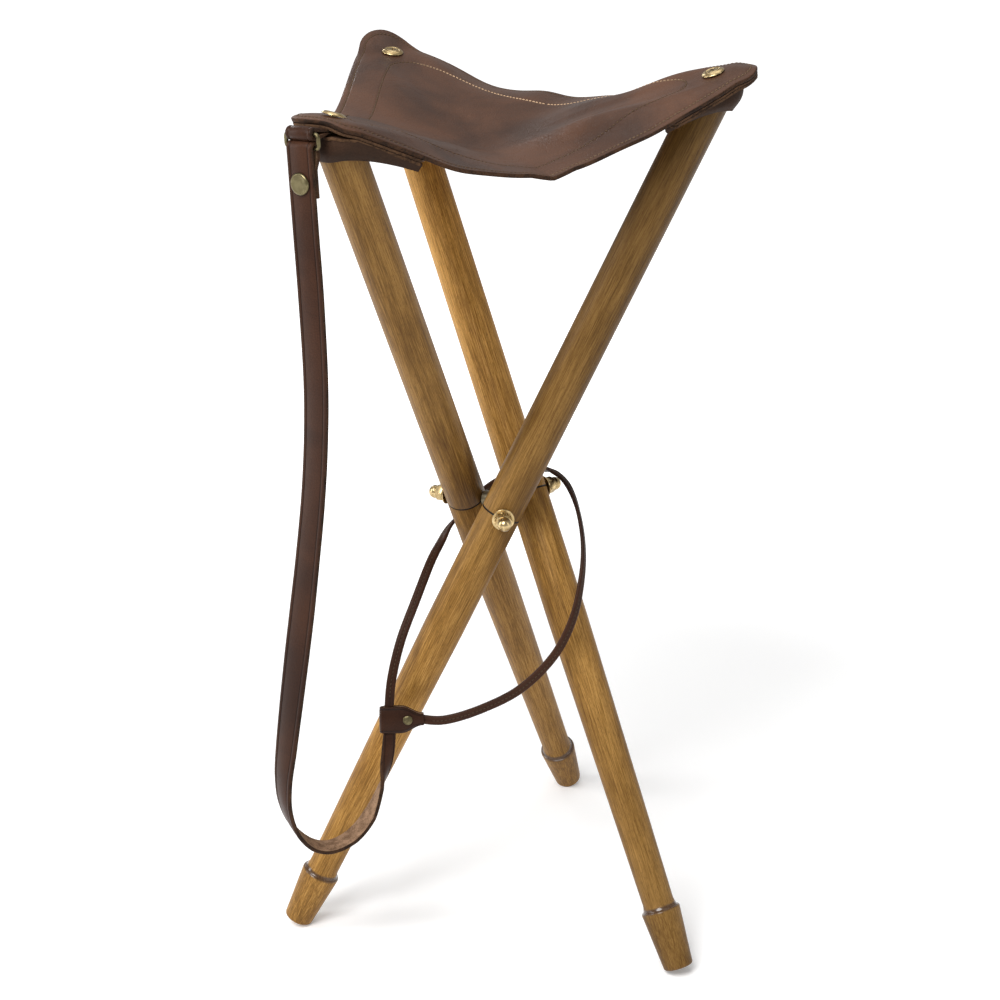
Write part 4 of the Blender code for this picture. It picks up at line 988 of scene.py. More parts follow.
# %% [markdown]
# ## Seat surface
# The seat is one sheet of leather over three leg ends. Its height is a formula: level at the corners, sagging
# in the middle and drooping along each edge by its own amount. It is the model's own formula with a few small
# folds added, so the fine sheet lies where the solid lies, and stitches, welts and screws can be set on it at
# any spot.

# %% Seat surface
PANEL_THICK = 0.003
CORNER_REACH = LEG_END["right"].xy.length
CORNER_ROUND = 0.022
TIP_REACH = CORNER_REACH + LEG_RADIUS + 0.0184
BLUNT_REACH = CORNER_REACH + LEG_RADIUS + 0.0074
SEAT_SAG = 0.050
EDGE_DROOP = {"front": 0.049, "rear": 0.030, "side": 0.024}
TIP_LIFT = {"right": 0.004, "back": 0.0115, "left": -0.006}
TIP_CURL = 0.0050
CORNER_FLAT = {
    "front": {"left": 0.13, "right": 0.04},
    "rear": {"right": 0.04, "back": 0.04},
    "side": {"back": 0.0, "left": 0.13},
}
EDGE_CURVE = {
    "front": {"left": 1.2, "right": 1.5},
    "rear": {"right": 2.3, "back": 1.75},
    "side": {"back": 2.4, "left": 1.5},
}
DISH_REACH = 0.135
DISH_SHARE = 0.8
SCREW_SHIFT = 0.004
EDGE_AFTER = {"right": "rear", "back": "side", "left": "front"}
EDGE_BEFORE = {"right": "front", "back": "rear", "left": "side"}
CORNER_LEVEL = LEG_END["right"].z + LEG_RADIUS + 0.0011
SIXTY = math.pi / 3
EDGE_REACH = (TIP_REACH - CORNER_ROUND) / 2 + CORNER_ROUND
APEX_REACH = TIP_REACH + CORNER_ROUND
ARC_END = math.atan2(CORNER_ROUND * math.sin(SIXTY), TIP_REACH - CORNER_ROUND / 2)
LIFT_FROM = CORNER_REACH + 0.0082
BLUNT_EASE = 0.008


def rise(share):
    return math.sin(math.pi / 2 * min(share, 1.0)) ** 1.5


CENTRE_LEVEL = CORNER_LEVEL - SEAT_SAG
TIP_LEVEL = CENTRE_LEVEL + SEAT_SAG / rise(CORNER_REACH / TIP_REACH)


def corner_of(heading):
    """The corner that a direction from the middle belongs to, and the angle from that corner's line."""
    turns = {}
    for leg, azimuth in CORNERS.items():
        turns[leg] = (heading - math.radians(azimuth) + math.pi) % (2 * math.pi) - math.pi
    leg = min(turns, key=lambda name: abs(turns[name]))
    return leg, turns[leg]


def nearest_corner(x, y):
    return corner_of(math.atan2(y, x))


def outline_reach(angle):
    if abs(angle) < ARC_END:
        hub = TIP_REACH - CORNER_ROUND
        return hub * math.cos(angle) + math.sqrt(CORNER_ROUND**2 - (hub * math.sin(angle)) ** 2)
    return EDGE_REACH / math.cos(SIXTY - abs(angle))


def seat_share(x, y):
    """How far out a spot lies: a round dish in the middle, which takes the outline's shape further out."""
    share = math.hypot(x, y) / outline_reach(nearest_corner(x, y)[1])
    dish = math.hypot(x, y) / DISH_REACH
    mix = min(1.0, share / DISH_SHARE)
    return dish + (share - dish) * mix * mix * (3 - 2 * mix)


def bell(distance, width):
    return math.exp(-((distance / width) ** 2))


def eased_step(value):
    value = max(0.0, min(1.0, value))
    return value * value * (3 - 2 * value)


def turned_spot(x, y, turn):
    """A spot of the plan, measured along and across a line at an angle from the right corner's."""
    way = unit(CORNERS["right"] + turn)
    return x * way.x + y * way.y, x * -way.y + y * way.x


def drape(x, y, share):
    """Small folds that a used sheet has: a kink in the front edge, a wave in the rear one, a soft ridge."""
    to_front, past_front = turned_spot(x, y, -60.0)
    to_rear, past_rear = turned_spot(x, y, 60.0)
    along, aside = turned_spot(x, y, -16.0)
    out = eased_step((share - 0.4) / 0.6)
    ahead = out * eased_step(to_front / 0.06)
    behind = out * eased_step(to_rear / 0.06)
    kink = 0.0026 * bell(past_front - 0.052, 0.026) - 0.0018 * bell(past_front + 0.068, 0.018)
    kink -= 0.0034 * max(0.0, 1.0 - abs(past_front - 0.002) / 0.016)
    wave = 0.0030 * bell(past_rear - 0.016, 0.018) - 0.0042 * bell(past_rear - 0.068, 0.028)
    wave -= 0.0066 * bell(past_rear + 0.070, 0.022)
    ridge = 0.0042 * bell(aside, 0.013) * bell(along - 0.085, 0.045)
    return kink * ahead + wave * behind + ridge


def rim_level(heading):
    """Height of the sheet's edge in one direction: level at a corner, drooping to the middle of an edge."""
    leg, angle = corner_of(heading)
    edge = EDGE_AFTER[leg] if angle > 0 else EDGE_BEFORE[leg]
    along = 1 - math.tan(SIXTY - abs(angle)) / math.tan(SIXTY)
    flat = CORNER_FLAT[edge][leg]
    along = max(0.0, along - flat) / (1 - flat)
    drop = TIP_LEVEL - CORNER_LEVEL + EDGE_DROOP[edge]
    return TIP_LEVEL - drop * math.sin(math.pi / 2 * along) ** EDGE_CURVE[edge][leg]


def seat_height(x, y):
    """Height of the leather's underside above the stud. Further in, the edge's ups and downs fade."""
    heading = math.atan2(y, x)
    leg, angle = corner_of(heading)
    share = seat_share(x, y)
    rim = rim_level(heading)
    fade = 0.6 * max(0.0, 1.0 - share)
    if fade > 0.0:
        near = rim_level(heading + 0.8 * fade) + rim_level(heading - 0.8 * fade)
        far = rim_level(heading + 1.6 * fade) + rim_level(heading - 1.6 * fade)
        rim = 0.32 * rim + 0.24 * near + 0.10 * far
    past = max(0.0, math.hypot(x, y) * math.cos(angle) - LIFT_FROM) / (TIP_REACH - LIFT_FROM)
    lift = TIP_LIFT[leg] * past**1.5 * math.cos(1.5 * angle) ** 2
    if leg == "right":
        lift -= TIP_CURL * eased_step((past - 0.35) / 0.75)
    return CENTRE_LEVEL + (rim - CENTRE_LEVEL) * rise(share) + lift + drape(x, y, share)


def seat_normal(x, y):
    step = 0.0005
    slope_x = (seat_height(x + step, y) - seat_height(x - step, y)) / (2 * step)
    slope_y = (seat_height(x, y + step) - seat_height(x, y - step)) / (2 * step)
    return Vector((-slope_x, -slope_y, 1.0)).normalized()


def on_seat(spot, height):
    """The point at a height over the leather's underside, at a spot of the plan round the stud."""
    return STUD + Vector((*spot, seat_height(*spot))) + height * seat_normal(*spot)


def corner_plan(leg, out, across):
    radial = unit(CORNERS[leg])
    return (out * radial + across * UP.cross(radial)).xy


def corner_edge(leg, walk):
    """A spot on the seat's outline, walked round the corner from its tip, and the way out there."""
    sign = math.copysign(1.0, walk)
    blunt = leg == "left"
    round_centre = Vector((TIP_REACH - CORNER_ROUND, 0.0))
    half = (APEX_REACH - BLUNT_REACH) * math.tan(SIXTY / 2) if blunt else CORNER_ROUND * SIXTY
    if blunt and abs(abs(walk) - half) < BLUNT_EASE:
        share = (abs(walk) - half + BLUNT_EASE) / (2 * BLUNT_EASE)
        onward = Vector((-math.sin(SIXTY), math.cos(SIXTY)))
        tip = Vector((BLUNT_REACH, half))
        first = tip - Vector((0.0, BLUNT_EASE)) * (1 - share) ** 2 + BLUNT_EASE * onward * share**2
        turned_by = SIXTY * share * sign
        spot = Vector((first.x, first.y * sign))
        out = Vector((math.cos(turned_by), math.sin(turned_by)))
    elif abs(walk) <= half:
        turned_by = 0.0 if blunt else walk / CORNER_ROUND
        out = Vector((math.cos(turned_by), math.sin(turned_by)))
        spot = Vector((BLUNT_REACH, walk)) if blunt else round_centre + CORNER_ROUND * out
    else:
        out = Vector((math.cos(SIXTY), math.sin(SIXTY) * sign))
        start = Vector((BLUNT_REACH, half * sign)) if blunt else round_centre + CORNER_ROUND * out
        spot = start + (abs(walk) - half) * Vector((-math.sin(SIXTY), math.cos(SIXTY) * sign))
    return corner_plan(leg, *spot), corner_plan(leg, *out)


def edge_length(leg):
    """From a corner's tip, along the outline, to the middle of the edge."""
    if leg == "left":
        cut_off = APEX_REACH - BLUNT_REACH
        return cut_off * math.tan(SIXTY / 2) + EDGE_REACH * math.tan(SIXTY) - cut_off / math.cos(SIXTY / 2)
    return CORNER_ROUND * SIXTY + (EDGE_REACH - CORNER_ROUND) * math.tan(SIXTY)


seat_side = round(2 * EDGE_REACH * math.tan(SIXTY), 3)
print("seat edge", seat_side, "m, centre", round(STUD.z + CENTRE_LEVEL, 3), "m high")

# %% [markdown]
# ## Seat sheet
# The sheet is laid out in rows from the middle to the edge, so that rows fall exactly on the two sewn lines
# and can be pulled down there, and close together where the edge is rounded over. It has to follow three
# legs, and a piece can bend between two bodies only, so it is cut into three sectors along lines that don't
# move. Their shading normals are taken from the whole sheet, which hides the cuts.

# %% Seat sheet
SEAM_INSIDE = 0.0046
SEAM_DEPTH = 0.00045
INNER_SHARE = 0.75
HALF_COUNT = 62
FIELD = [0.03 + 0.705 * i / 34 for i in range(35)] + [0.742, INNER_SHARE, 0.758]
FIELD += [0.772 + 0.016 * i for i in range(10)]
MARGIN = [0.0068, 0.0055, SEAM_INSIDE, 0.0037, 0.0024, 0.0010]
SECTORS = ["right", "back", "left"]


def seat_rows(spot, out):
    """Shares of the way out to the edge for one station, with the depth pressed in by the sewing."""
    reach = spot.dot(out)
    rows = [(share, SEAM_DEPTH if share == INNER_SHARE else 0.0) for share in FIELD]
    return rows + [(1.0 - inside / reach, SEAM_DEPTH if inside == SEAM_INSIDE else 0.0) for inside in MARGIN]


stations, first_of = [], {}
for leg in SECTORS:
    first_of[leg] = len(stations)
    half = edge_length(leg)
    stations += [corner_edge(leg, half * (i / HALF_COUNT)) for i in range(-HALF_COUNT, HALF_COUNT)]
ROWS = len(FIELD) + len(MARGIN)
EDGE_ROWS = [(0.0003, 0.00287), (0.0, 0.0025), (0.0, 0.0015), (0.0, 0.0005), (0.0003, 0.00013)]
COLUMN = 2 * ROWS + len(EDGE_ROWS)
seat_points, seat_flat, seat_dark = [], [], []
for spot, out in stations:
    tops, bottoms = [], []
    for share, pressed in seat_rows(spot, out):
        here = spot * share
        base = STUD + Vector((*here, seat_height(*here)))
        normal = seat_normal(*here)
        tops.append((base + (PANEL_THICK - pressed) * normal, here, 0.35 if pressed else 0.0))
        bottoms.append((base + 0.5 * pressed * normal, here, 0.0))
    rim = [(on_seat(spot * (1 - inside / spot.dot(out)), height), spot, 0.4) for inside, height in EDGE_ROWS]
    for point, here, dark in tops + rim + bottoms[::-1]:
        seat_points.append(point)
        seat_flat.append((here.x, here.y))
        seat_dark.append(dark)
TOP_POLE = len(seat_points)
seat_points += [on_seat(Vector((0.0, 0.0)), PANEL_THICK), on_seat(Vector((0.0, 0.0)), 0.0)]
seat_flat += [(0.0, 0.0), (0.0, 0.0)]
seat_dark += [0.0, 0.0]


def seat_faces(columns, ring):
    """Faces between neighbouring columns, each with its finish: skin, cut edge or suede."""
    faces, kinds = [], []
    for a, b in zip(columns, columns[1:] + columns[:1] if ring else columns[1:]):
        faces.append((TOP_POLE, a * COLUMN, b * COLUMN))
        kinds.append(0)
        for row in range(COLUMN - 1):
            faces.append((a * COLUMN + row, a * COLUMN + row + 1, b * COLUMN + row + 1, b * COLUMN + row))
            kinds.append(0 if row < ROWS else 2 if row < ROWS + len(EDGE_ROWS) - 1 else 1)
        faces.append((b * COLUMN + COLUMN - 1, a * COLUMN + COLUMN - 1, TOP_POLE + 1))
        kinds.append(1)
    return faces, kinds


whole = bpy.data.meshes.new("whole_seat")
whole.from_pydata(seat_points, [], seat_faces(list(range(len(stations))), True)[0])
whole.update()
seat_normals = [Vector(item.vector) for item in whole.vertex_normals]
if seat_normals[TOP_POLE].z < 0:
    seat_normals = [-normal for normal in seat_normals]
bpy.data.meshes.remove(whole)
print("seat sheet", len(stations), "stations of", COLUMN, "points")


def bend_with_corner(piece):
    """Bakes the piece's placement into its mesh."""
    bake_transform(piece)


for leg in SECTORS:
    first = first_of[leg]
    columns = [(first + i) % len(stations) for i in range(2 * HALF_COUNT + 1)]
    faces, kinds = seat_faces(columns, False)
    walls = len(faces)
    for side, column in ((-1, columns[0]), (1, columns[-1])):
        base = column * COLUMN
        last = base + COLUMN - 1
        loop = [(TOP_POLE, base, last, TOP_POLE + 1)]
        loop += [(base + i, base + i + 1, last - 1 - i, last - i) for i in range(ROWS - 1)]
        loop.append(tuple(range(base + ROWS - 1, base + COLUMN - ROWS + 1)))
        faces += [face[::side] for face in loop]
        kinds += [2] * len(loop)
    used = sorted({v for face in faces for v in face})
    renumbered = {old: new for new, old in enumerate(used)}
    mesh = bpy.data.meshes.new(f"seat_{leg}")
    points = [seat_points[v] for v in used]
    mesh.from_pydata(points, [], [tuple(renumbered[v] for v in face) for face in faces])
    mesh.polygons.foreach_set("material_index", kinds)
    mesh.polygons.foreach_set("use_smooth", [True] * len(faces))
    mark(mesh, "worn", [seat_dark[v] for v in used])
    lay_flat(mesh, [seat_flat[v] for v in used])
    if mesh.polygons[0].normal.z < 0:
        mesh.flip_normals()
    normals = [seat_normals[used[loop.vertex_index]] for loop in mesh.loops]
    for face in list(mesh.polygons)[walls:]:
        for loop in face.loop_indices:
            normals[loop] = face.normal.copy()
    mesh.normals_split_custom_set(normals)
    piece = add_piece(f"leather_seat_{leg}", mesh, (seat_leather, flesh_side, cut_edge))
    bend_with_corner(piece)
    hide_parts("seat_panel")

# %% [markdown]
# ## Seat stitching
# Two lines of thread run round the seat: one close to the edge, which also holds the welts and pockets, and
# one about 27 mm in from the edge, which turns inside each screw and shows on both faces. The thread is dark,
# and a painted highlight lightens it where it would catch the light: strongly on the rear edge's inner line,
# and a little on the right corner's outer line.

# %% Seat stitching
SEAT_PITCH = 0.0029


def seat_path(leg, share=None):
    """Spots of a sewn line round one corner: near the edge, or at a share of the way out to it."""
    half = edge_length(leg)
    spots = []
    for i in range(-180, 181):
        spot, out = corner_edge(leg, half * i / 180)
        spots.append(spot * share if share else spot * (1.0 - SEAM_INSIDE / spot.dot(out)))
    return spots


seat_seams = {}
for leg in SECTORS:
    stitches = []
    for share in (None, INNER_SHARE):
        path = [Vector((*spot, 0.0)) for spot in seat_path(leg, share)]
        for spot, forward, _ in along_line(path, SEAT_PITCH):
            angle = nearest_corner(spot.x, spot.y)[1]
            edge = EDGE_AFTER[leg] if angle > 0 else EDGE_BEFORE[leg]
            # Painted highlight: the thread is made lighter where it would catch the light, most on the rear
            # inner line.
            pale = 0.2 if leg == "right" and not share else 0.12
            if edge == "rear" and share:
                pale = max(pale, 0.9 * min(1.0, abs(angle) / 0.25))
            normal = seat_normal(spot.x, spot.y)
            lies = (forward - forward.dot(normal) * normal).normalized()
            stitches.append((on_seat(spot.xy, PANEL_THICK - 0.0002), lies, normal, pale))
            if share:
                stitches.append((on_seat(spot.xy, 0.0), lies, -normal, 0.2))
    seat_seams[leg] = seam(f"seat_stitches_{leg}", stitches)
    bend_with_corner(seat_seams[leg])
print("seat stitches", {leg: len(piece.data.polygons) for leg, piece in seat_seams.items()})

# %% [markdown]
# ## Welts and pockets
# Under each corner a narrow welt and a pocket are sewn to the seat, and the pocket wraps the end of its leg.
# Both are sheets: rows of points from the sewn edge inwards, the pocket's down to its mouth, given their
# thickness by a Solidify modifier, whose rim takes the tan of a cut edge. Stiff leather hardly drapes, so
# they are shaped directly and not by a cloth simulation.

# %% Welts and pockets
SEAM_LENGTH = 0.075
LAYER_THICK = 0.002
TAB_THICK = 0.0018
TAB_WIDTH = 0.021
TAB_STACK = 2 * TAB_THICK + 3 * GAP
WALKS = [i / 40 for i in range(-40, 41)]


def tab_drop(leg, walk):
    """How much lower the pocket's seam lies where the ring's tab is sewn in above it."""
    if leg != "left":
        return 0.0
    past = (abs(walk) - TAB_WIDTH / 2 - GAP) / TAB_WIDTH
    return TAB_STACK * (1 - min(1.0, max(0.0, past)))


def pocket_rows(leg):
    """From the sewn edge, in along the seam, then down and round the leg to the pocket's mouth."""
    axis = (LEG_PLACES[leg].to_3x3() @ UP).normalized()
    radial = unit(CORNERS[leg])
    outer = (radial - radial.dot(axis) * axis).normalized()
    side = axis.cross(outer)
    mouth_middle = LEG_PLACES[leg] @ Vector((0.0, 0.0, LEG_ABOVE - LEG_RADIUS - 0.005))
    wrap = LEG_RADIUS + 0.0012 + GAP
    seam_share = 0.98 if leg == "left" else 0.94
    columns = []
    for share in WALKS:
        walk = share * SEAM_LENGTH
        depth = 2 * GAP + LAYER_THICK + tab_drop(leg, walk)
        spot = corner_edge(leg, walk)[0]
        edge = on_seat(spot, -depth)
        inner = on_seat(spot * seam_share, -depth)
        lower = on_seat(spot * seam_share, -depth - 0.006)
        turned_by = share * math.pi / 2
        out = math.cos(turned_by) * outer + math.sin(turned_by) * side
        drawn_up = 0.005 * (1 - share * share) ** 2 * axis
        mouth = (mouth_middle + drawn_up + wrap * out).lerp(lower, share * share)
        push = 0.0035 * (1 - share * share) * out
        middle = inner.lerp(mouth, 0.5) + push
        fall = smooth_line([inner, middle, mouth], 6)
        columns.append([edge, edge.lerp(inner, 0.35), edge.lerp(inner, 0.7)] + fall)
    return [list(row) for row in zip(*columns)]


def layer(name, rows):
    """A leather layer through rows of points, thickened downwards, with a map in metres."""
    wide = len(rows[0])
    points = [point for row in rows for point in row]
    faces = [
        (i * wide + j, (i + 1) * wide + j, (i + 1) * wide + j + 1, i * wide + j + 1)
        for i in range(len(rows) - 1)
        for j in range(wide - 1)
    ]
    mesh = bpy.data.meshes.new(name)
    mesh.from_pydata(points, [], faces)
    if mesh.polygons[wide // 2].normal.z < 0:
        mesh.flip_normals()
    across = lengths(rows[0])
    down = lengths([row[wide // 2] for row in rows])
    lay_flat(mesh, [(x, y) for y in down for x in across])
    piece = add_piece(name, mesh, (pocket_leather, tan_edge))
    pick(piece)
    wall = piece.modifiers.new("thickness", "SOLIDIFY")
    wall.thickness = LAYER_THICK
    wall.offset = -1.0
    wall.use_even_offset = True
    wall.material_offset = 0
    wall.material_offset_rim = 1
    bpy.ops.object.modifier_apply(modifier=wall.name)
    eased(piece, 0.00035, 2, 50.0)
    shade(piece, 45.0)
    return piece


for leg in SECTORS:
    welt_rows = [[on_seat(corner_edge(leg, share * SEAM_LENGTH)[0] * inwards, -GAP) for share in WALKS]
                 for inwards in (1.0, 0.98, 0.96, 0.94)]
    welt = layer(f"leather_welt_{leg}", welt_rows)
    stand_for(welt, f"leg_{leg}", "pocket_leather", f"welt_{leg}")
    pocket = layer(f"leather_pocket_{leg}", pocket_rows(leg))
    stand_for(pocket, f"leg_{leg}", "pocket_leather", f"pocket_{leg}")

# %% [markdown]
# ## Cup washers and screws
# Each corner is held by a brass screw in a cup washer. The washer is a turned ring with a rolled rim, and the
# screw's head is a shallow dome with a cross recess cut by two crossed bars.

# %% Cup washers and screws
cup = ringed("cup", [(0.0079, 0.0), (0.0082, 0.0002), (0.0082, 0.0004), (0.0080, 0.0007), (0.0073, 0.0012),
                     (0.0066, 0.0017), (0.0060, 0.0020), (0.0055, 0.0021), (0.0051, 0.0019), (0.0048, 0.0015),
                     (0.0036, 0.0008), (0.0026, 0.0004), (0.0026, 0.0)], 56)
screw_head = [(0.0004, -0.021), (0.0020, -0.017), (0.0020, 0.0002), (0.0022, 0.0003), (0.0043, 0.0013)]
screw_head += [(0.0044, 0.0015), (0.0043, 0.0017), (0.0039, 0.0019), (0.0032, 0.0021), (0.0022, 0.0022)]
screw_head += [(0.0010, 0.00225), (0.0004, 0.00225)]
screw = turned("screw", screw_head, 40)
for turn in (0.0, 90.0):
    bpy.ops.object.select_all(action="DESELECT")
    bpy.ops.mesh.primitive_cube_add(size=1.0, location=(0.0, 0.0, 0.0022))
    bar = bpy.context.object
    bar.rotation_euler.z = math.radians(turn)
    bar.scale = (0.0050, 0.0010, 0.0022)
    bpy.ops.object.transform_apply(location=True, rotation=True, scale=True)
    carved(screw, bar)
for number, leg in enumerate(SECTORS):
    spot = corner_plan(leg, CORNER_REACH + SCREW_SHIFT, 0.0)
    seated = on_seat(spot, PANEL_THICK + 2 * GAP)
    place = stand(seated, unit(CORNERS[leg]), seat_normal(*spot))
    made = copied(cup, f"cup_ring_{leg}")
    settle(made, place, brass, 40.0)
    stand_for(made, f"leg_{leg}", "brass", f"cup_washer_{leg}")
    made = copied(screw, f"corner_screw_{leg}")
    settle(made, place @ Matrix.Rotation(math.radians(25 + 38 * number), 4, "Z"), brass, 30.0)
    stand_for(made, f"leg_{leg}", "brass", f"seat_screw_{leg}")
bpy.data.objects.remove(cup)
bpy.data.objects.remove(screw)
print("corner fastenings", 2 * len(SECTORS))

# %% [markdown]
# ## Ring and tab
# A wire ring hangs from a folded tab that is sewn into the blunt left corner. The ring starts as a plane,
# keeps only its four sides, and its corners are rounded by a vertex bevel. Turned into a curve with a round
# bevel it becomes wire. The tab is a strip that goes out, turns round the ring's upper bar and comes back.

# %% Ring and tab
bpy.ops.object.select_all(action="DESELECT")
bpy.ops.mesh.primitive_plane_add(size=1.0)
ring = bpy.context.object
ring.name = "strap_wire_ring"
ring.scale = (RING_HEIGHT, 0.026, 1.0)
bpy.ops.object.transform_apply(location=True, rotation=True, scale=True)
bpy.ops.object.mode_set(mode="EDIT")
bpy.ops.mesh.select_all(action="SELECT")
bpy.ops.mesh.delete(type="ONLY_FACE")
bpy.ops.mesh.select_all(action="SELECT")
bpy.ops.mesh.bevel(offset=0.0026, segments=8, affect="VERTICES")
bpy.ops.object.mode_set(mode="OBJECT")
bpy.ops.object.convert(target="CURVE")
ring.data.bevel_depth = RING_WIRE
ring.data.bevel_resolution = 6
bpy.ops.object.convert(target="MESH")
ring = bpy.context.object
settle(ring, stand(RING_TOP - RING_HEIGHT / 2 * UP, UP, RADIAL), antique_brass, 50.0)
outward(ring)
stand_for(ring, "strap_ring", "antique_brass", "strap_ring")


def fold(centre, first, last, radius, out, up, steps=16):
    """A line that comes in from one end, turns half round a bar and goes back to the other end."""
    bend = [math.pi / 2 - math.pi * step / steps for step in range(steps + 1)]
    return [first] + [centre + radius * (math.cos(a) * out + math.sin(a) * up) for a in bend] + [last]


def plain_section(width, thick):
    """A strap's section without the dark of the pressed lines."""
    section = strap_section(width, thick)
    return [(across, height, dark if dark < 0.8 else 0.0) for across, height, dark in section]


ROLL_THICK = 0.0028
TAB_DEPTH = 2 * GAP + LAYER_THICK + TAB_THICK / 2
TAB_BACK = TAB_DEPTH + TAB_THICK + GAP
tab_from = corner_plan("left", BLUNT_REACH - 0.0065, 0.0)
tip_spot = corner_plan("left", BLUNT_REACH, 0.0)
tab_line = fold(RING_TOP, on_seat(tip_spot, -TAB_DEPTH), on_seat(tip_spot, -TAB_BACK),
                RING_WIRE + GAP + ROLL_THICK / 2, RADIAL, UP)
tab_line = [on_seat(tab_from, -TAB_DEPTH)] + tab_line + [on_seat(tab_from, -TAB_BACK)]
tab_thick = [TAB_THICK] * 2 + [ROLL_THICK] * (len(tab_line) - 4) + [TAB_THICK] * 2
tab = strip("leather_ring_tab", tab_line, [BAR] * len(tab_line), [TAB_WIDTH] * len(tab_line),
            tab_thick, plain_section, STRAP_FACES)
stand_for(tab, "leg_left", "strap_leather", "ring_tab")
print("ring", len(ring.data.polygons), "faces, tab", round(lengths(tab_line)[-1], 4), "m")

# %% [markdown]
# ## Strap end and press stud
# The strap's end turns over the ring's lower bar and is held by a press stud: a flat cap with a rolled rim in
# front, a washer behind. The end shares its cut with the carry strap below, so that no joint shows.

# %% Strap end and press stud
BACK = FRONT - (STRAP_THICK + GAP) * RADIAL
STUD_BELOW = 0.0218
end_line = [BACK - 0.031 * UP, BACK - 0.027 * UP, BACK - STUD_BELOW * UP, BACK - 0.6 * STUD_BELOW * UP]
end_line += [RING_LOW - STRAP_TURN * RADIAL - 2 * STRAP_TURN * UP]
over = [math.pi - math.pi * step / 16 for step in range(17)]
end_line += [RING_LOW + STRAP_TURN * (math.cos(a) * RADIAL + math.sin(a) * UP) for a in over]
end_line += [FRONT - reach * UP for reach in (0.007, 0.014, STUD_BELOW, 0.030, 0.039, STRAP_END)]
strap_end = strip("strap_fold", end_line, [BAR] * len(end_line), [STRAP_WIDTH] * len(end_line),
                  STRAP_THICK, strap_section, STRAP_FACES, -lengths(end_line)[-1])
stand_for(strap_end, "strap_ring", "strap_leather", "strap_end")

press_place = stand(FRONT - STUD_BELOW * UP + (STRAP_THICK / 2 + GAP) * RADIAL, UP, RADIAL)
cap = turned("press_cap", [(0.0019, -0.0081), (0.0020, -0.0079), (0.0020, 0.0), (0.0069, 0.0),
                           (0.0072, 0.0002), (0.0072, 0.0006), (0.0070, 0.0011), (0.0066, 0.0015),
                           (0.0060, 0.0018), (0.0054, 0.00175), (0.0046, 0.0016), (0.0030, 0.00165),
                           (0.0012, 0.0017), (0.0003, 0.0017)], 56)
settle(cap, press_place, antique_brass, 40.0)
stand_for(cap, "strap_ring", "antique_brass", "press_stud_cap")
base = ringed("press_base", [(0.0046, 0.0), (0.0058, -0.0001), (0.0058, -0.0007), (0.0055, -0.0010),
                             (0.0047, -0.0012), (0.0025, -0.0012), (0.0023, -0.0010), (0.0023, 0.0)], 40)
settle(base, press_place @ Matrix.Translation((0.0, 0.0, -0.0069)), antique_brass, 40.0)
stand_for(base, "strap_ring", "antique_brass", "press_stud_base")
print("strap end", round(lengths(end_line)[-1], 4), "m")

# %% [markdown]
# ## Keeper and rivet
# The noose ends in a keeper: a wider flap folded round the strap, riveted through, and cut to a neck where
# the noose leaves it. It is a strip like the others, with its width drawn in towards the tongue.

# %% Keeper and rivet
KEEPER_THICK = 0.0018
KEEPER_WIDTH = 0.020
KEEPER_TURN = NOOSE_THICK / 2 + GAP + KEEPER_THICK / 2
keeper_bend = KEEPER_CENTRE - (NECK_WIDTH / 2 - 0.0008) * KEEPER_OUT
tongue = KEEPER_CENTRE + 0.0255 * KEEPER_OUT
keeper_line = fold(keeper_bend, tongue + KEEPER_TURN * KEEPER_FACE, tongue - KEEPER_TURN * KEEPER_FACE,
                   KEEPER_TURN, -KEEPER_OUT, KEEPER_FACE)
shares = [step / 14 for step in range(14)]
front = [keeper_line[0].lerp(keeper_line[1], share) for share in shares]
rear = [keeper_line[-1].lerp(keeper_line[-2], share) for share in reversed(shares)]
taper = [0.0088 + 0.0112 * eased_step((share - 0.04) / 0.52) for share in shares]
keeper_line = front + keeper_line[1:-1] + rear
keeper_widths = taper + [KEEPER_WIDTH] * (len(keeper_line) - 2 * len(taper)) + taper[::-1]
keeper = strip("leather_keeper", keeper_line, [-KEEPER_UP] * len(keeper_line), keeper_widths, KEEPER_THICK,
               lambda width, thick: strap_section(width, thick, 0.0018), STRAP_FACES)
stand_for(keeper, "hub", "strap_leather", "keeper")
GRIP = KEEPER_TURN + KEEPER_THICK / 2 + GAP
rivet_head = [(0.0036, 0.0), (0.0036, 0.0003), (0.0034, 0.0007), (0.0029, 0.0010),
              (0.0020, 0.0012), (0.0004, 0.0013)]
rivet_profile = [(radius, -GRIP - height) for radius, height in reversed(rivet_head)]
rivet_profile += [(0.0014, -GRIP), (0.0014, GRIP)]
rivet_profile += [(radius, GRIP + height) for radius, height in rivet_head]
rivet = turned("brass_rivet", rivet_profile, 40)
settle(rivet, stand(KEEPER_CENTRE + 0.0135 * KEEPER_OUT, KEEPER_UP, KEEPER_FACE), antique_brass, 40.0)
stand_for(rivet, "hub", "antique_brass", "keeper_rivet")
print("keeper", round(lengths(keeper_line)[-1], 4), "m")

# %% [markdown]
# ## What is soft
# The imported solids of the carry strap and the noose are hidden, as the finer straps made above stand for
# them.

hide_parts("carry_strap")
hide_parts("noose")

# %% [markdown]
# ## Stage and light
# A plain pale floor carries a soft shadow. The main light is a large softbox high in front on the left, as in
# a product studio, so that the legs are brightest where they face the camera and the seat shades their tops.
# Weaker ones stand left and right, one hangs above, and a small one behind draws a sheen on the seat's folds.
# For the camera and for mirrors the floor gets some light of its own, more of it further away, and the sky is
# brighter. That makes the background white, and apart from reflections it puts no more light on the stool.

# %% Stage and light
WHITE = (1.0, 1.0, 1.0, 1.0)


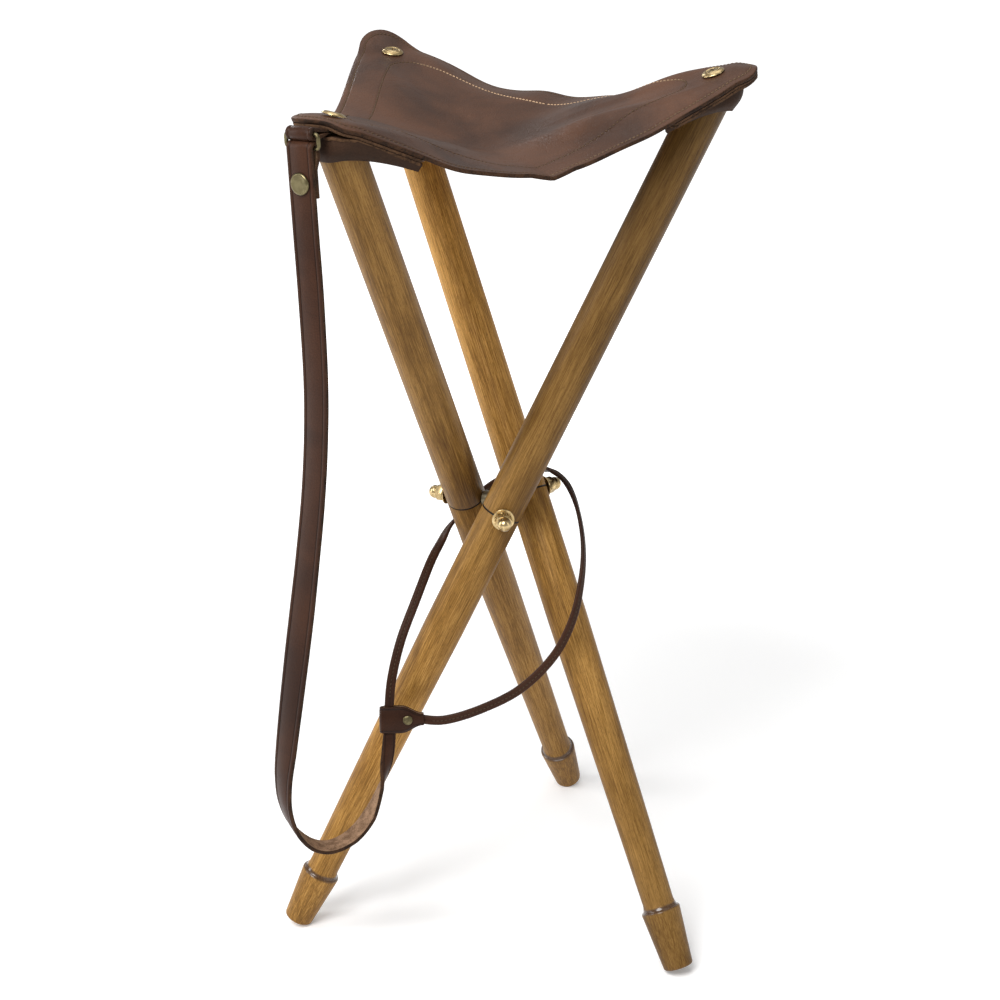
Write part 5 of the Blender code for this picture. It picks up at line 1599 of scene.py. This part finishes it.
def ray_kinds(tree):
    """Whether a ray comes from the camera, and whether it comes by a reflection or through glass."""
    seen = add_node(tree, "ShaderNodeLightPath").outputs
    return seen["Is Camera Ray"], maths(tree, "MAXIMUM", seen["Is Glossy Ray"], seen["Is Transmission Ray"])


bpy.ops.object.select_all(action="DESELECT")
bpy.ops.mesh.primitive_plane_add(size=40.0)
floor = bpy.context.object
floor.name = "studio_floor"
paper, tree, shader = new_material("studio paper")
place = add_node(tree, "ShaderNodeTexCoord").outputs["Object"]
shade_of_paper = ranged(tree, noise(tree, place, 3.0, 3.0), 0.2, 0.8, 0.90, 0.93)
feed(tree, shader, {"Base Color": shade_of_paper, "Roughness": 0.9, "Specular IOR Level": 0.1})
direct, mirrored = ray_kinds(tree)
far = add_node(tree, "ShaderNodeVectorMath", {0: place}, operation="LENGTH").outputs["Value"]
shown = maths(tree, "MAXIMUM", direct, mirrored)
glow = maths(tree, "MULTIPLY", ranged(tree, far, 0.3, 1.3, 0.18, 0.85), shown)
feed(tree, shader, {"Emission Color": WHITE, "Emission Strength": glow})
floor.data.materials.append(paper)
floor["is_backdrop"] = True


def softbox(name, place, target, size, power):
    lamp = bpy.data.lights.new(name, "AREA")
    lamp.shape = "RECTANGLE"
    lamp.size, lamp.size_y = size
    lamp.energy = power
    made = bpy.data.objects.new(name, lamp)
    bpy.context.scene.collection.objects.link(made)
    made.location = place
    made.rotation_euler = (Vector(target) - Vector(place)).to_track_quat("-Z", "Y").to_euler()


softbox("front softbox", (-0.8, -1.3, 2.1), (0.0, 0.0, 0.4), (1.2, 1.2), 54.0)
softbox("left softbox", (-2.0, 0.1, 1.1), (0.0, 0.0, 0.4), (0.6, 1.4), 16.0)
softbox("right softbox", (1.8, -0.9, 1.0), (0.0, 0.0, 0.4), (0.6, 1.5), 6.0)
softbox("top softbox", (0.1, 0.4, 2.2), (0.0, 0.0, 0.5), (1.4, 1.2), 8.0)
softbox("rear softbox", (-0.9, 2.2, 1.6), (0.0, 0.0, 0.6), (0.5, 0.4), 6.0)
world = bpy.data.worlds.new("studio")
bpy.context.scene.world = world
world.use_nodes = True
sky = world.node_tree
direct, mirrored = ray_kinds(sky)
sky_strength = maths(sky, "MULTIPLY_ADD", mirrored, 0.15, 0.28)
sky_strength = maths(sky, "MULTIPLY_ADD", direct, 0.72, sky_strength)
feed(sky, sky.nodes["Background"], {"Color": WHITE, "Strength": sky_strength})
bpy.context.scene.view_settings.view_transform = "Standard"
print("lights", [light.name for light in bpy.data.lights])

# %% [markdown]
# ## Size
# The finer pieces are measured against the model's own box, and how far they stand out of it on each side
# is printed. The finer pieces have to stay inside the model's own box, apart from a little that leather may
# stand proud.

# %% Size
seen_low, seen_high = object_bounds()
grown = [round(1000 * v, 1) for v in (*(cad_low - seen_low), *(seen_high - cad_high))]
print("grown by", grown, "mm")
